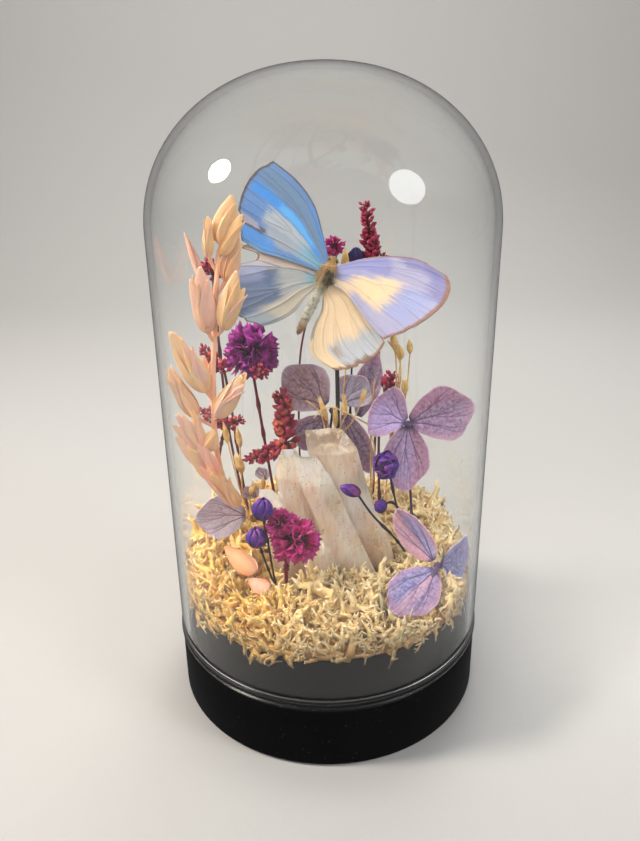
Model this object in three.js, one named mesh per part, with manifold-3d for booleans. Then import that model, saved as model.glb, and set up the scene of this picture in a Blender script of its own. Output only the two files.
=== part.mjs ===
// A butterfly mounted over a quartz cluster, moss and dried flowers, under a glass dome on a
// turned black base.  Millimetres, +Z up, origin at the centre of the base's underside, the
// front of the display towards -Y.

import * as THREE from 'three';
import { ConvexGeometry } from 'three/addons/geometries/ConvexGeometry.js';
import { mergeVertices } from 'three/addons/utils/BufferGeometryUtils.js';
import Module from 'manifold-3d';

const wasm = await Module();
wasm.setup();

// ---- driving dimensions -------------------------------------------------------------------

const BASE_RADIUS = 50;        // outside of the turned base
const LEDGE_HEIGHT = 22;       // the ledge that the glass stands on
const PLINTH_RADIUS = 45.5;    // the raised middle that fits inside the glass
const PLINTH_HEIGHT = 38;      // top of the plinth, which carries the moss
const GLASS_RADIUS = 50;       // outside of the glass wall
const GLASS_WALL = 2;
const RIM_HEIGHT = 3.6;        // the thickened, fire-polished rim of the glass
const WALL_HEIGHT = 154.5;     // where the straight wall starts to round over
const CAP_RISE = 43.5;         // rise of the rounded top above that
const CAP_POWER = 2.08;        // 2 would be an ellipse, more is squarer
const MOSS_TOP = 46;           // the moss between the middle and the plinth's edge
const MOSS_EDGE = 41.5;        // where it falls away at the glass
const MOSS_BED = 44.5;         // and where it dips to the crystals
const GAP = 0.3;               // clearance between pieces that touch

const display = new THREE.Group();

// ---- helpers: solids ------------------------------------------------------------------------

const at = (point) => new THREE.Vector3(...point);

function material(color, roughness, metalness = 0) {
  return new THREE.MeshStandardMaterial({ color, roughness, metalness });
}

function place(name, geometry, finish, parent = display) {
  const mesh = new THREE.Mesh(geometry, finish);
  mesh.name = name;
  parent.add(mesh);
  return mesh;
}

function welded(geometry) {
  const bare = geometry.clone();
  bare.deleteAttribute('normal');
  bare.deleteAttribute('uv');
  return mergeVertices(bare, 1e-4);
}

function toSolid(geometry) {
  const { attributes, index } = welded(geometry);
  return new wasm.Manifold(new wasm.Mesh({
    numProp: 3,
    vertProperties: new Float32Array(attributes.position.array),
    triVerts: new Uint32Array(index.array),
  }));
}

function toGeometry(solid) {
  const mesh = solid.getMesh();
  const geometry = new THREE.BufferGeometry();
  geometry.setAttribute('position', new THREE.BufferAttribute(mesh.vertProperties, 3));
  geometry.setIndex(new THREE.BufferAttribute(mesh.triVerts, 1));
  return geometry;
}

function joined(geometries) {
  return toGeometry(geometries.map(toSolid).reduce((whole, piece) => whole.add(piece)));
}

// ---- helpers: shapes ------------------------------------------------------------------------

// A turned piece about the Z axis, from a profile of [radius, height] points.
function turned(profile, segments) {
  const points = profile.map(([radius, height]) => new THREE.Vector2(radius, height));
  return new THREE.LatheGeometry(points, segments).rotateX(Math.PI / 2);
}

// A round stem along a smooth curve through the points.
function stem(points, radius, steps = 5, sides = 5) {
  const section = new THREE.Shape();
  for (let side = 0; side < sides; side += 1) {
    const angle = (2 * Math.PI * side) / sides;
    const [x, y] = [radius * Math.cos(angle), radius * Math.sin(angle)];
    if (side === 0) section.moveTo(x, y);
    else section.lineTo(x, y);
  }
  section.closePath();
  const extrudePath = new THREE.CatmullRomCurve3(points.map(at));
  return new THREE.ExtrudeGeometry(section, { steps, extrudePath, bevelEnabled: false });
}

// A pointed, husk-like solid from foot to tip.  Its widest ring is at the given share of its
// length, and it is thinner by the flatness towards the facing direction.
function spindle({ foot, tip, radius, belly = 0.4, flatness = 1, facing = [0, -1, 0], sides = 7 }) {
  const [FOOT_RING, TIP_RING] = [0.72, 0.68];     // their radius, as a share of the widest
  const [start, end] = [at(foot), at(tip)];
  const length = start.distanceTo(end);
  const rings = [
    [0, 0],
    [FOOT_RING, belly * 0.35],
    [1, belly],
    [TIP_RING, (1 + belly) / 2],
    [0, 1],
  ];
  const profile = rings.map(([wide, along]) => new THREE.Vector2(wide * radius, along * length));
  const along = end.clone().sub(start).normalize();
  const across = along.clone().cross(at(facing)).normalize();
  const thick = across.clone().cross(along);
  return new THREE.LatheGeometry(profile, sides)
    .scale(1, 1, flatness)
    .applyMatrix4(new THREE.Matrix4().makeBasis(across, along, thick))
    .translate(start.x, start.y, start.z);
}

// A round bloom or bud.
function ball(centre, radius, detail = 1, squash = 1) {
  return new THREE.IcosahedronGeometry(radius, detail).scale(1, 1, squash).translate(...centre);
}

// A closed thin sheet over a grid of middle-surface points, rows from root to edge.
function sheet(rows, thickness) {
  const [rowCount, columnCount] = [rows.length, rows[0].length];
  const clamp = (value, count) => Math.min(Math.max(value, 0), count - 1);
  const grid = (row, column) => rows[clamp(row, rowCount)][clamp(column, columnCount)];
  const positions = [];
  for (const side of [1, -1]) {
    for (let row = 0; row < rowCount; row += 1) {
      for (let column = 0; column < columnCount; column += 1) {
        const along = grid(row + 1, column).clone().sub(grid(row - 1, column));
        const across = grid(row, column + 1).clone().sub(grid(row, column - 1));
        const normal = along.cross(across).normalize();
        positions.push(...grid(row, column).clone().addScaledVector(normal, (side * thickness) / 2));
      }
    }
  }
  const layer = rowCount * columnCount;
  const vertex = (row, column, side) => side * layer + row * columnCount + column;
  const faces = [];
  const quad = (a, b, c, d) => faces.push(a, b, c, a, c, d);
  for (let row = 0; row < rowCount - 1; row += 1) {
    for (let column = 0; column < columnCount - 1; column += 1) {
      const corners = [[row, column], [row + 1, column], [row + 1, column + 1], [row, column + 1]];
      quad(...corners.map(([r, c]) => vertex(r, c, 0)));
      quad(...corners.reverse().map(([r, c]) => vertex(r, c, 1)));
    }
  }
  const wall = (r0, c0, r1, c1) => quad(
    vertex(r0, c0, 0), vertex(r0, c0, 1), vertex(r1, c1, 1), vertex(r1, c1, 0));
  for (let row = 0; row < rowCount - 1; row += 1) {
    wall(row, 0, row + 1, 0);
    wall(row + 1, columnCount - 1, row, columnCount - 1);
  }
  for (let column = 0; column < columnCount - 1; column += 1) {
    wall(0, column + 1, 0, column);
    wall(rowCount - 1, column, rowCount - 1, column + 1);
  }
  const geometry = new THREE.BufferGeometry();
  geometry.setAttribute('position', new THREE.Float32BufferAttribute(positions, 3));
  geometry.setIndex(faces);
  return geometry;
}

// A petal from foot to tip, cupped across its width and bowed along its length, with its
// upper side towards the facing direction.
function petal({ foot, tip, facing, width, cup = 1.5, bow = 1, fold = 0 }) {
  const THICKNESS = 0.6;
  const [ROWS, COLUMNS] = [5, 4];
  const outline = (s) => Math.sin(Math.PI * (0.06 + 0.8 * s ** 0.85)) ** 0.65;
  const [start, end] = [at(foot), at(tip)];
  const along = end.clone().sub(start);
  const across = along.clone().cross(at(facing)).normalize();
  const up = across.clone().cross(along).normalize();
  const rows = [];
  for (let row = 0; row <= ROWS; row += 1) {
    const s = row / ROWS;
    const half = (width / 2) * outline(s);
    const points = [];
    for (let column = 0; column <= COLUMNS; column += 1) {
      const t = (2 * column) / COLUMNS - 1;
      const rise = cup * t * t * Math.sin(Math.PI * s) + fold * Math.abs(t) * s
        - bow * Math.sin(Math.PI * s);
      points.push(start.clone().addScaledVector(along, s)
        .addScaledVector(across, half * t).addScaledVector(up, rise));
    }
    rows.push(points);
  }
  return sheet(rows, THICKNESS);
}

// ---- base and glass -------------------------------------------------------------------------

const BLACK_WOOD = material(0x0b0a0a, 0.42);
const GLASS = material(0xf4f8f7, 0.03);

function buildBase() {
  const [CHAMFER, ROUND_SEGMENTS] = [1.2, 36];
  return turned([
    [0, 0],
    [BASE_RADIUS - CHAMFER, 0],
    [BASE_RADIUS, CHAMFER],
    [BASE_RADIUS, LEDGE_HEIGHT - CHAMFER],
    [BASE_RADIUS - CHAMFER / 2, LEDGE_HEIGHT],
    [PLINTH_RADIUS, LEDGE_HEIGHT],
    [PLINTH_RADIUS, PLINTH_HEIGHT - CHAMFER],
    [PLINTH_RADIUS - CHAMFER, PLINTH_HEIGHT],
    [0, PLINTH_HEIGHT],
  ], ROUND_SEGMENTS);
}

// Points of the rounded top for a wall of this radius and rise, from the wall up to the axis.
function capProfile(radius, rise, steps) {
  const points = [];
  for (let step = 0; step <= steps; step += 1) {
    const angle = (Math.PI / 2) * (step / steps);
    const out = step === steps ? 0 : Math.cos(angle) ** (2 / CAP_POWER);
    points.push([radius * out, WALL_HEIGHT + rise * Math.sin(angle) ** (2 / CAP_POWER)]);
  }
  return points;
}

function buildGlass() {
  const [CAP_STEPS, ROUND_SEGMENTS] = [7, 32];
  const LIP = 0.35;              // how far the rim stands out of the wall, on both sides
  const EDGE_ROUND = 0.6;        // the rim's rounded lower edge, and its height
  const EDGE_RISE = 0.8;
  const RIM_SLOPE = 1;           // where the rim runs out into the wall
  const foot = LEDGE_HEIGHT + GAP;
  const inner = GLASS_RADIUS - GLASS_WALL;
  // The rim and wall of one side, with the rim standing out by the lip away from the wall.
  const side = (radius, away, rise) => [
    [radius - away * EDGE_ROUND, foot],
    [radius + away * LIP, foot + EDGE_RISE],
    [radius + away * LIP, foot + RIM_HEIGHT - RIM_SLOPE],
    [radius, foot + RIM_HEIGHT],
    ...capProfile(radius, rise, CAP_STEPS),
  ];
  const outside = side(GLASS_RADIUS, 1, CAP_RISE);
  const inside = side(inner, -1, CAP_RISE - GLASS_WALL);
  // The inside is cut out of the full shape as a plug that reaches below the rim.
  const below = foot - 1;
  const shell = turned([[0, foot], ...outside], ROUND_SEGMENTS);
  const plug = turned([[0, below], [inner + EDGE_ROUND, below], ...inside], ROUND_SEGMENTS);
  return toGeometry(toSolid(shell).subtract(toSolid(plug)));
}

place('base', buildBase(), BLACK_WOOD);
place('glass_dome', buildGlass(), GLASS);

// ---- moss -----------------------------------------------------------------------------------

const MOSS_RADIUS = 46.2;                 // outer edge, just past the plinth's edge
const BED = { x: 2, y: -5.5, halfWidth: 25.5, halfDepth: 14 };   // hollow for the crystals
const MOSS_CLUMPS = [                     // name, first and last direction in degrees, colour
  ['moss_back_right', 25, 89, 0xd9d5bd],
  ['moss_back_left', 89, 154, 0xe2d3a4],
  ['moss_left', 154, 205, 0xe9d293],
  ['moss_front_left', 205, 266, 0xf0deb0],
  ['moss_front_right', 266, 333, 0xefe2c4],
  ['moss_right', 333, 385, 0xdcdabf],
];

function mossClump(first, last) {
  const [ANGLES, RINGS, SEAM] = [5, 4, 0.4];
  const inward = (angle) => [
    BED.x + BED.halfWidth * Math.cos(angle), BED.y + BED.halfDepth * Math.sin(angle)];
  const SHOULDER = 1;            // how far its outer slope bulges above a straight one
  const slope = (MOSS_TOP + MOSS_EDGE) / 2 + SHOULDER;
  const tops = [MOSS_BED, MOSS_TOP, MOSS_TOP, slope, MOSS_EDGE];
  const floor = PLINTH_HEIGHT + GAP;
  const positions = [];
  for (let step = 0; step <= ANGLES; step += 1) {
    const turn = first + SEAM + ((last - first - 2 * SEAM) * step) / ANGLES;
    const angle = THREE.MathUtils.degToRad(turn);
    const [x0, y0] = inward(angle);
    const [x1, y1] = [MOSS_RADIUS * Math.cos(angle), MOSS_RADIUS * Math.sin(angle)];
    for (let ring = 0; ring <= RINGS; ring += 1) {
      const t = ring / RINGS;
      const [x, y] = [x0 + (x1 - x0) * t, y0 + (y1 - y0) * t];
      positions.push(x, y, tops[ring], x, y, floor);
    }
  }
  const top = (step, ring) => 2 * (step * (RINGS + 1) + ring);
  const bottom = (step, ring) => top(step, ring) + 1;
  const faces = [];
  const quad = (a, b, c, d) => faces.push(a, b, c, a, c, d);
  for (let step = 0; step < ANGLES; step += 1) {
    for (let ring = 0; ring < RINGS; ring += 1) {
      quad(top(step, ring), top(step, ring + 1), top(step + 1, ring + 1), top(step + 1, ring));
      quad(bottom(step, ring), bottom(step + 1, ring), bottom(step + 1, ring + 1),
        bottom(step, ring + 1));
    }
    quad(top(step, 0), top(step + 1, 0), bottom(step + 1, 0), bottom(step, 0));
    quad(top(step, RINGS), bottom(step, RINGS), bottom(step + 1, RINGS), top(step + 1, RINGS));
  }
  for (let ring = 0; ring < RINGS; ring += 1) {
    quad(top(0, ring), bottom(0, ring), bottom(0, ring + 1), top(0, ring + 1));
    quad(top(ANGLES, ring), top(ANGLES, ring + 1), bottom(ANGLES, ring + 1),
      bottom(ANGLES, ring));
  }
  const geometry = new THREE.BufferGeometry();
  geometry.setAttribute('position', new THREE.Float32BufferAttribute(positions, 3));
  geometry.setIndex(faces);
  return geometry;
}

for (const [name, first, last, colour] of MOSS_CLUMPS) {
  place(name, mossClump(first, last), material(colour, 0.95));
}

// ---- quartz cluster -------------------------------------------------------------------------

// One six-sided crystal: its axis runs from foot to shoulder, and it ends in a short ridge at
// the tip.  Width is across X, depth is front to back.
const CRYSTALS = [
  {
    foot: [13.5, -3.5, 34], shoulder: [2, -2, 85.5], tip: [-0.8, -1.5, 92],
    width: 20.5, depth: 13, ridge: 12,
  },
  {
    foot: [14, -12.5, 34], shoulder: [-3.4, -10.5, 78], tip: [-6.4, -9.5, 86.8],
    width: 14, depth: 8, ridge: 7,
  },
  {
    foot: [-2, -7, 34], shoulder: [-10.5, -7, 79], tip: [-11.8, -7.5, 88.5],
    width: 15, depth: 10, ridge: 4,
  },
  {
    foot: [-10.5, -8, 34], shoulder: [-17, -8.5, 69], tip: [-19.4, -8.5, 75],
    width: 12, depth: 9, ridge: 4,
  },
  {
    foot: [-1, -13, 34], shoulder: [-2.5, -12.5, 55], tip: [-3.5, -12, 60],
    width: 13, depth: 9, ridge: 3,
  },
  {
    foot: [21, -6, 34], shoulder: [16, -4.5, 56], tip: [14.5, -4, 65],
    width: 9, depth: 10, ridge: 2,
  },
];
const CRYSTAL_TAPER = 0.86;      // width at the shoulder, as a share of that at the foot
const CRYSTAL_TURN = 0.2;        // radians that a face is turned from the front

function crystal({ foot, shoulder, tip, width, depth, ridge }) {
  const SIDES = 6;
  const points = [];
  for (const [[x, y, z], share] of [[foot, 1], [shoulder, CRYSTAL_TAPER]]) {
    for (let side = 0; side < SIDES; side += 1) {
      const angle = (2 * Math.PI * (side + 0.5)) / SIDES + CRYSTAL_TURN;
      const across = (share * width * Math.cos(angle)) / 2;
      const deep = (share * depth * Math.sin(angle)) / 2;
      points.push(at([x + across, y + deep, z]));
    }
  }
  const [x, y, z] = tip;
  points.push(at([x - ridge / 2, y, z]), at([x + ridge / 2, y, z]));
  return new ConvexGeometry(points);
}

function buildQuartz() {
  const crystals = CRYSTALS.map((one) => toSolid(crystal(one)));
  const cluster = crystals.reduce((all, one) => all.add(one));
  const floor = PLINTH_HEIGHT + GAP;
  const size = 2 * BASE_RADIUS;
  const under = new THREE.BoxGeometry(size, size, size).translate(0, 0, floor - size / 2);
  return toGeometry(cluster.subtract(toSolid(under)));
}

place('quartz_cluster', buildQuartz(), material(0xd8c8be, 0.3));

// ---- butterfly ------------------------------------------------------------------------------

// The butterfly's own frame: X right and Y up in the plane of its wings, Z towards the front,
// origin in the thorax.  The plane leans back from upright.
const LEAN = 25;                              // degrees
const THORAX = [1, 3, 139.5];
const WING_LIFT = 0.16;                       // how far the wings rise from flat, per mm of reach
const BODY_LINE = { from: [1.9, 4.2], to: [-8.8, -16.8] };     // head to end of abdomen
const WING_THICKNESS = 0.5;

const butterfly = new THREE.Group();
butterfly.position.copy(at(THORAX));
butterfly.rotation.x = THREE.MathUtils.degToRad(90 - LEAN);
display.add(butterfly);

// Distance from the line of the body, in the plane of the wings.
function reach(x, y) {
  const { from, to } = BODY_LINE;
  const [dx, dy] = [to[0] - from[0], to[1] - from[1]];
  return Math.abs((x - from[0]) * dy - (y - from[1]) * dx) / Math.hypot(dx, dy);
}

const curve = (points) => new THREE.SplineCurve(points.map(([x, y]) => new THREE.Vector2(x, y)));

// A wing is blended between its leading edge, its trailing edge, and the outer margin that
// joins their far ends.
function wing({ leading, trailing, margin, level }) {
  const [ROWS, COLUMNS] = [6, 5];
  const [lead, trail, outer] = [leading, trailing, margin].map(curve);
  const rows = [];
  for (let row = 0; row <= ROWS; row += 1) {
    const s = row / ROWS;
    const points = [];
    for (let column = 0; column <= COLUMNS; column += 1) {
      const t = column / COLUMNS;
      const flat = lead.getPoint(s).lerp(trail.getPoint(s), t);
      const straight = lead.getPoint(1).lerp(trail.getPoint(1), t);
      flat.add(outer.getPoint(t).sub(straight).multiplyScalar(s));
      points.push(new THREE.Vector3(flat.x, flat.y, level + WING_LIFT * reach(flat.x, flat.y)));
    }
    rows.push(points);
  }
  return rows;
}

const FOREWING_LEVEL = 0.35;
const HINDWING_LEVEL = -0.75;
const WINGS = {
  forewing_left: {
    leading: [[-0.9, 5.2], [-1.1, 12.1], [-3.5, 20.3], [-7.9, 26.8], [-16.8, 33.5]],
    margin: [[-16.8, 33.5], [-21.2, 31.2], [-24.7, 25.3], [-25.9, 17], [-24.7, 10.6]],
    trailing: [[-2.8, 1.6], [-7.9, 3.2], [-13.8, 5.3], [-19.1, 7.6], [-24.7, 10.6]],
    level: FOREWING_LEVEL,
  },
  forewing_right: {
    leading: [[4.4, 2.9], [9.7, 4.1], [15.6, 4.7], [21.5, 4.4], [27.4, 2.9], [34.7, -1.8]],
    margin: [[34.7, -1.8], [35.6, -5.5], [32.4, -10.9], [24.4, -16.5], [16.2, -19.4]],
    trailing: [[2.2, -1.2], [5, -5], [9, -10.5], [12.5, -15.5], [16.2, -19.4]],
    level: FOREWING_LEVEL,
  },
  hindwing_left: {
    leading: [[-3.4, 0.9], [-9, 3.2], [-15, 5.6], [-20, 7], [-24.4, 7.4]],
    margin: [[-24.4, 7.4], [-26.8, 2.5], [-28.6, -6], [-25.6, -12.1], [-19.1, -14.7]],
    trailing: [[-3.9, -2.1], [-6.4, -6.4], [-9.6, -10.4], [-14.4, -13.3], [-19.1, -14.7]],
    level: HINDWING_LEVEL,
  },
  hindwing_right: {
    leading: [[2, -1.5], [6.5, -6], [10.5, -11], [14, -16], [16.5, -20.3]],
    margin: [[16.5, -20.3], [14.1, -23.8], [9.7, -26.5], [5.3, -27.9], [1.8, -27.9]],
    trailing: [[0, -4.6], [-1.8, -10], [-4.6, -16], [-4.9, -23], [1.8, -27.9]],
    level: HINDWING_LEVEL,
  },
};
const WING_COLOURS = {
  forewing_left: 0x7fb4e2,
  forewing_right: 0xcfc6e4,
  hindwing_left: 0xa9b6c4,
  hindwing_right: 0xecd9b8,
};

for (const [name, shape] of Object.entries(WINGS)) {
  const rows = wing(shape);
  if (name.endsWith('left')) rows.forEach((row) => row.reverse());
  place(name, sheet(rows, WING_THICKNESS), material(WING_COLOURS[name], 0.6), butterfly);
}

function buildBody() {
  const { from, to } = BODY_LINE;
  const [headPlace, waist, thoraxEnd] = [[1.8, 3.7, 0], [-0.8, -1.1, 0], [-2.4, -4.2, 0]];
  const shape = { belly: 0.5, sides: 9 };
  const head = ball(headPlace, 1.15);
  const thorax = spindle({ foot: [...from, 0], tip: thoraxEnd, radius: 1.65, ...shape });
  const abdomen = spindle({ foot: waist, tip: [...to, -0.6], radius: 1.35, ...shape });
  return joined([head, thorax, abdomen]);
}

place('butterfly_body', buildBody(), material(0xb7a58c, 0.9), butterfly);

const WIRE_RADIUS = 0.7;
const MOUNTING_WIRE = [[4, 6.3, PLINTH_HEIGHT + GAP], [4.1, 8.6, 70], [4, 11, 106],
  [3.2, 9.6, 126], [1.4, 6.4, 135.6]];
place('mounting_wire', stem(MOUNTING_WIRE, WIRE_RADIUS, 12), material(0x101010, 0.4, 0.8));

// ---- dried oat sprig ------------------------------------------------------------------------

const HUSK = material(0xeab294, 0.75);
const OAT_STEM_RADIUS = 1;
const HUSK_FLATNESS = 0.5;
const MOSS_FOOT = MOSS_TOP + GAP;             // where a stem meets the moss
const OAT_STEM = [[-31, 15, MOSS_FOOT], [-33.5, 6, 66], [-34.8, -1, 86], [-33.8, -5, 108],
  [-31.7, -7, 128], [-30, -8, 143], [-29, -8, 150]];
place('oat_stem', stem(OAT_STEM, OAT_STEM_RADIUS, 14), HUSK);

const SPIKELETS = [
  { foot: [-28.2, -8, 152.5], tip: [-25, -7.5, 165], radius: 3.4 },
  { foot: [-32, -8.6, 148], tip: [-31.2, -9, 160], radius: 1.6 },
  { foot: [-27.6, -7.2, 141], tip: [-23.4, -7.4, 154], radius: 2.6 },
  { foot: [-33.6, -9, 126.5], tip: [-34.4, -10, 146], radius: 3 },
  { foot: [-28.8, -9.6, 127.5], tip: [-24.2, -10.8, 145], radius: 2.9 },
  { foot: [-35.6, -6.4, 107], tip: [-44.6, -9, 127], radius: 3.6 },
  { foot: [-36, -1.2, 105], tip: [-36, -3, 118], radius: 1.6 },
  { foot: [-33, -7.4, 99], tip: [-23.4, -11, 114.5], radius: 2.9 },
  { foot: [-38.8, -3.4, 98], tip: [-45, -6.5, 114], radius: 2.9 },
  { foot: [-36.6, -4.2, 86.5], tip: [-44.2, -8.5, 100], radius: 3.3 },
  { foot: [-33, -4.5, 74.5], tip: [-42.4, -9.5, 91], radius: 3.2 },
  { foot: [-28.6, -5.5, 67], tip: [-35.2, -13, 83.5], radius: 3 },
];
SPIKELETS.forEach((shape, index) => {
  place(`oat_spikelet_${index + 1}`, spindle({ flatness: HUSK_FLATNESS, ...shape }), HUSK);
});

const FALLEN_HUSKS = [
  { foot: [-29.8, -12, 52], tip: [-22, -21.5, 50.8], radius: 3.2 },
  { foot: [-27.5, -25.5, 47.6], tip: [-18.5, -28, 47.8], radius: 2.4 },
];
FALLEN_HUSKS.forEach((shape, index) => {
  const lying = spindle({ flatness: HUSK_FLATNESS, facing: [0, -0.4, 1], ...shape });
  place(`fallen_husk_${index + 1}`, lying, HUSK);
});

// ---- hydrangea florets ----------------------------------------------------------------------

const FRONT = [0, -1, 0.2];                   // the way that an upright petal faces
const PETALS = {
  right_floret_petal_left: {
    foot: [24.8, 1.8, 92], tip: [16.2, 2, 103.5], facing: [0, -1, 0.3], width: 14,
  },
  right_floret_petal_right: {
    foot: [28.2, 1, 91.4], tip: [45.3, -3.5, 98.6], facing: [0, -1, 0.3], width: 17.5,
  },
  right_floret_petal_low: {
    foot: [26.2, 1.2, 89], tip: [25, -1, 68.5], facing: FRONT, width: 14.5,
  },
  low_floret_petal_left: {
    foot: [33.2, -16.8, 52.6], tip: [21.5, -13, 69.5], facing: [-0.3, -1, 0.4], width: 10,
    fold: 3,
  },
  low_floret_petal_right: {
    foot: [36, -17, 51.8], tip: [43.6, -8.5, 54], facing: [0.2, -1, 0.5], width: 15,
  },
  low_floret_petal_front: {
    foot: [33.2, -19.8, 50.4], tip: [20.6, -36.5, 48.2], facing: [-0.1, -0.3, 1], width: 13,
  },
  back_floret_petal_left: {
    foot: [0, 16.6, 91.8], tip: [-13, 17.5, 105], facing: FRONT, width: 17,
  },
  back_floret_petal_right: {
    foot: [6, 17, 92.4], tip: [13.4, 15.5, 102], facing: FRONT, width: 13,
  },
  back_floret_petal_far: {
    foot: [11.5, 20.5, 86], tip: [17.5, 20, 109], facing: [-0.3, -1, 0.2], width: 9,
  },
  back_floret_petal_low: {
    foot: [-0.4, 16.4, 87.6], tip: [-8.6, 14.5, 77], facing: FRONT, width: 13,
  },
  back_floret_petal_under: {
    foot: [6.5, 17, 88.5], tip: [15, 13.5, 68], facing: FRONT, width: 9,
  },
  loose_petal_left: {
    foot: [-27, 1, 59.5], tip: [-43, -3.5, 61.5], facing: [-0.1, -1, 0.2], width: 15,
  },
};
const PETAL_COLOURS = { right: 0xb99ac4, low: 0xb3abe0, back: 0x9a8797, loose: 0xc4b3c6 };
for (const [name, shape] of Object.entries(PETALS)) {
  place(name, petal(shape), material(PETAL_COLOURS[name.split('_')[0]], 0.7));
}

const STALK = material(0x4c3a5c, 0.8);
const [EYE_RADIUS, STALK_RADIUS] = [0.95, 0.6];
const FLORET_STALKS = {
  right_floret_stalk: {
    eye: [26.2, 1, 90.8],
    route: [[26.2, 2.2, 90.4], [28, 8, 70], [30, 10, MOSS_FOOT]],
  },
  low_floret_stalk: {
    eye: [34.6, -18, 51.4],
    route: [[34.8, -17.6, 50.6], [35.4, -16.5, 48.5], [35, -15, 45.9]],
  },
  back_floret_stalk: {
    eye: [2.6, 17, 90],
    route: [[2.6, 18, 89.6], [0, 21, 68], [-2, 23, MOSS_FOOT]],
  },
};
for (const [name, { eye, route }] of Object.entries(FLORET_STALKS)) {
  place(name, joined([ball(eye, EYE_RADIUS), stem(route, STALK_RADIUS)]), STALK);
}

// ---- round dried blooms on wiry stems ---------------------------------------------------------

const BLOOM_STEM_RADIUS = 0.45;
const BLOOMS = {
  bud_pair: {
    colour: 0x5a3f8a,
    balls: [[[-19.1, -24, 76.5], 3], [[-21, -24, 66.8], 3]],
    stems: [
      [[-19.1, -23.6, 75], [-17.6, -22.4, 60], [-16.4, -20.4, MOSS_FOOT]],
      [[-21, -23.6, 65.5], [-18.8, -22.4, 56], [-16.6, -20.8, 47]],
    ],
  },
  double_bloom: {
    colour: 0xa8336f,
    balls: [[[-14.2, -23, 71], 4.2], [[-9.6, -24, 65.8], 6.4]],
    stems: [[[-12, -23.5, 62], [-12.8, -22.6, 54], [-13, -21, MOSS_FOOT]]],
  },
  violet_sprig: {
    colour: 0x7a3aa0,
    balls: [[[18.4, -7.5, 83.4], 3.9], [[16.6, -12.5, 70], 2.1]],
    stems: [
      [[19.4, -7.4, 81], [22.6, -8.6, 66], [27.6, -9.6, 54], [29.5, -9, MOSS_FOOT]],
      [[17, -12.3, 70], [20, -10.4, 70.4], [22.4, -8.6, 67.4]],
    ],
  },
  front_bud: {
    colour: 0x4b2f7c,
    balls: [[[7.6, -17.5, 79.2], 2.4]],
    stems: [[[8.6, -17.5, 78.4], [14, -17, 69.5], [20.5, -13.5, 60], [25, -11, 52],
      [27, -10.8, MOSS_FOOT]]],
  },
  back_bloom: {
    colour: 0x8e3f97,
    balls: [[[-23.9, 16, 111.8], 7.9]],
    stems: [[[-23.9, 16, 105], [-20.4, 17, 76], [-17, 19, MOSS_FOOT]]],
  },
  high_bloom: {
    colour: 0x9a2f78,
    balls: [[[3.4, 15, 144.8], 2.7]],
    stems: [[[3, 15.2, 143], [-4.6, 17, 124], [-8.6, 20, 100], [-9, 22, MOSS_FOOT]]],
  },
  dark_bud: {
    colour: 0x2c2350,
    balls: [[[10.2, 14, 142], 2.4]],
    stems: [[[10.2, 14.2, 140.6], [9.4, 18, 116], [8.6, 23, 84], [8, 25, MOSS_FOOT]]],
  },
};
for (const [name, { colour, balls, stems }] of Object.entries(BLOOMS)) {
  const heads = balls.map(([centre, radius]) => ball(centre, radius, radius > 7 ? 2 : 1));
  const wires = stems.map((route) => stem(route, BLOOM_STEM_RADIUS));
  place(name, joined([...heads, ...wires]), material(colour, 0.85));
}

// ---- crimson bud sprigs -----------------------------------------------------------------------

const CRIMSON = material(0xa82c4c, 0.8);
const SPRIG_STEM_RADIUS = 0.5;
const CRIMSON_SPRIGS = {
  crimson_sprig_top: {
    heads: [
      { foot: [15.6, 14, 136], tip: [12.4, 14, 161.5], radius: 3 },
      { foot: [17, 14, 133], tip: [19, 14, 146], radius: 1.7 },
    ],
    route: [[15.6, 14, 140], [18, 20, 120], [18, 26, 92], [17, 26, MOSS_FOOT]],
  },
  crimson_sprig_far_left: {
    heads: [{ foot: [-33.6, 15, 135.5], tip: [-38, 14, 144], radius: 3 }],
    route: [[-34.4, 15, 137], [-34, 16, 112], [-33, 20, 80], [-29, 24, MOSS_FOOT]],
  },
  crimson_sprig_mid_left: {
    heads: [{ foot: [-31, 4.5, 108.5], tip: [-40, 5.5, 119], radius: 2.8 }],
    route: [[-31.4, 4.6, 109.4], [-31, 12.8, 94], [-29, 13, 70], [-26.5, 13.5, MOSS_FOOT]],
  },
  crimson_sprig_low_left: {
    heads: [
      { foot: [-31.5, 8.4, 88], tip: [-43, 7.5, 96.5], radius: 2.8 },
      { foot: [-34.4, 8.4, 88.4], tip: [-24, 7.8, 92], radius: 2.5 },
    ],
    route: [[-32.8, 8.6, 89], [-36.5, 13, 72], [-37, 16, MOSS_FOOT]],
  },
  crimson_sprig_back: {
    heads: [
      { foot: [-13.4, 11, 77], tip: [-14.2, 11, 103], radius: 2.9 },
      { foot: [-11.5, 10.6, 81], tip: [-29, 9, 74.5], radius: 2.6 },
    ],
    route: [[-13.4, 11, 82], [-13.2, 11.6, 68], [-13, 12, MOSS_FOOT]],
  },
  crimson_sprig_right: {
    heads: [{ foot: [19, 10, 99], tip: [23, 10, 108.5], radius: 3 }],
    route: [[19.4, 10, 100.5], [17.8, 12, 82], [19, 16, MOSS_FOOT]],
  },
};
for (const [name, { heads, route }] of Object.entries(CRIMSON_SPRIGS)) {
  const spikes = heads.map((shape) => spindle({ belly: 0.5, ...shape }));
  place(name, joined([...spikes, stem(route, SPRIG_STEM_RADIUS)]), CRIMSON);
}

// ---- golden seed pods -------------------------------------------------------------------------

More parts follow.
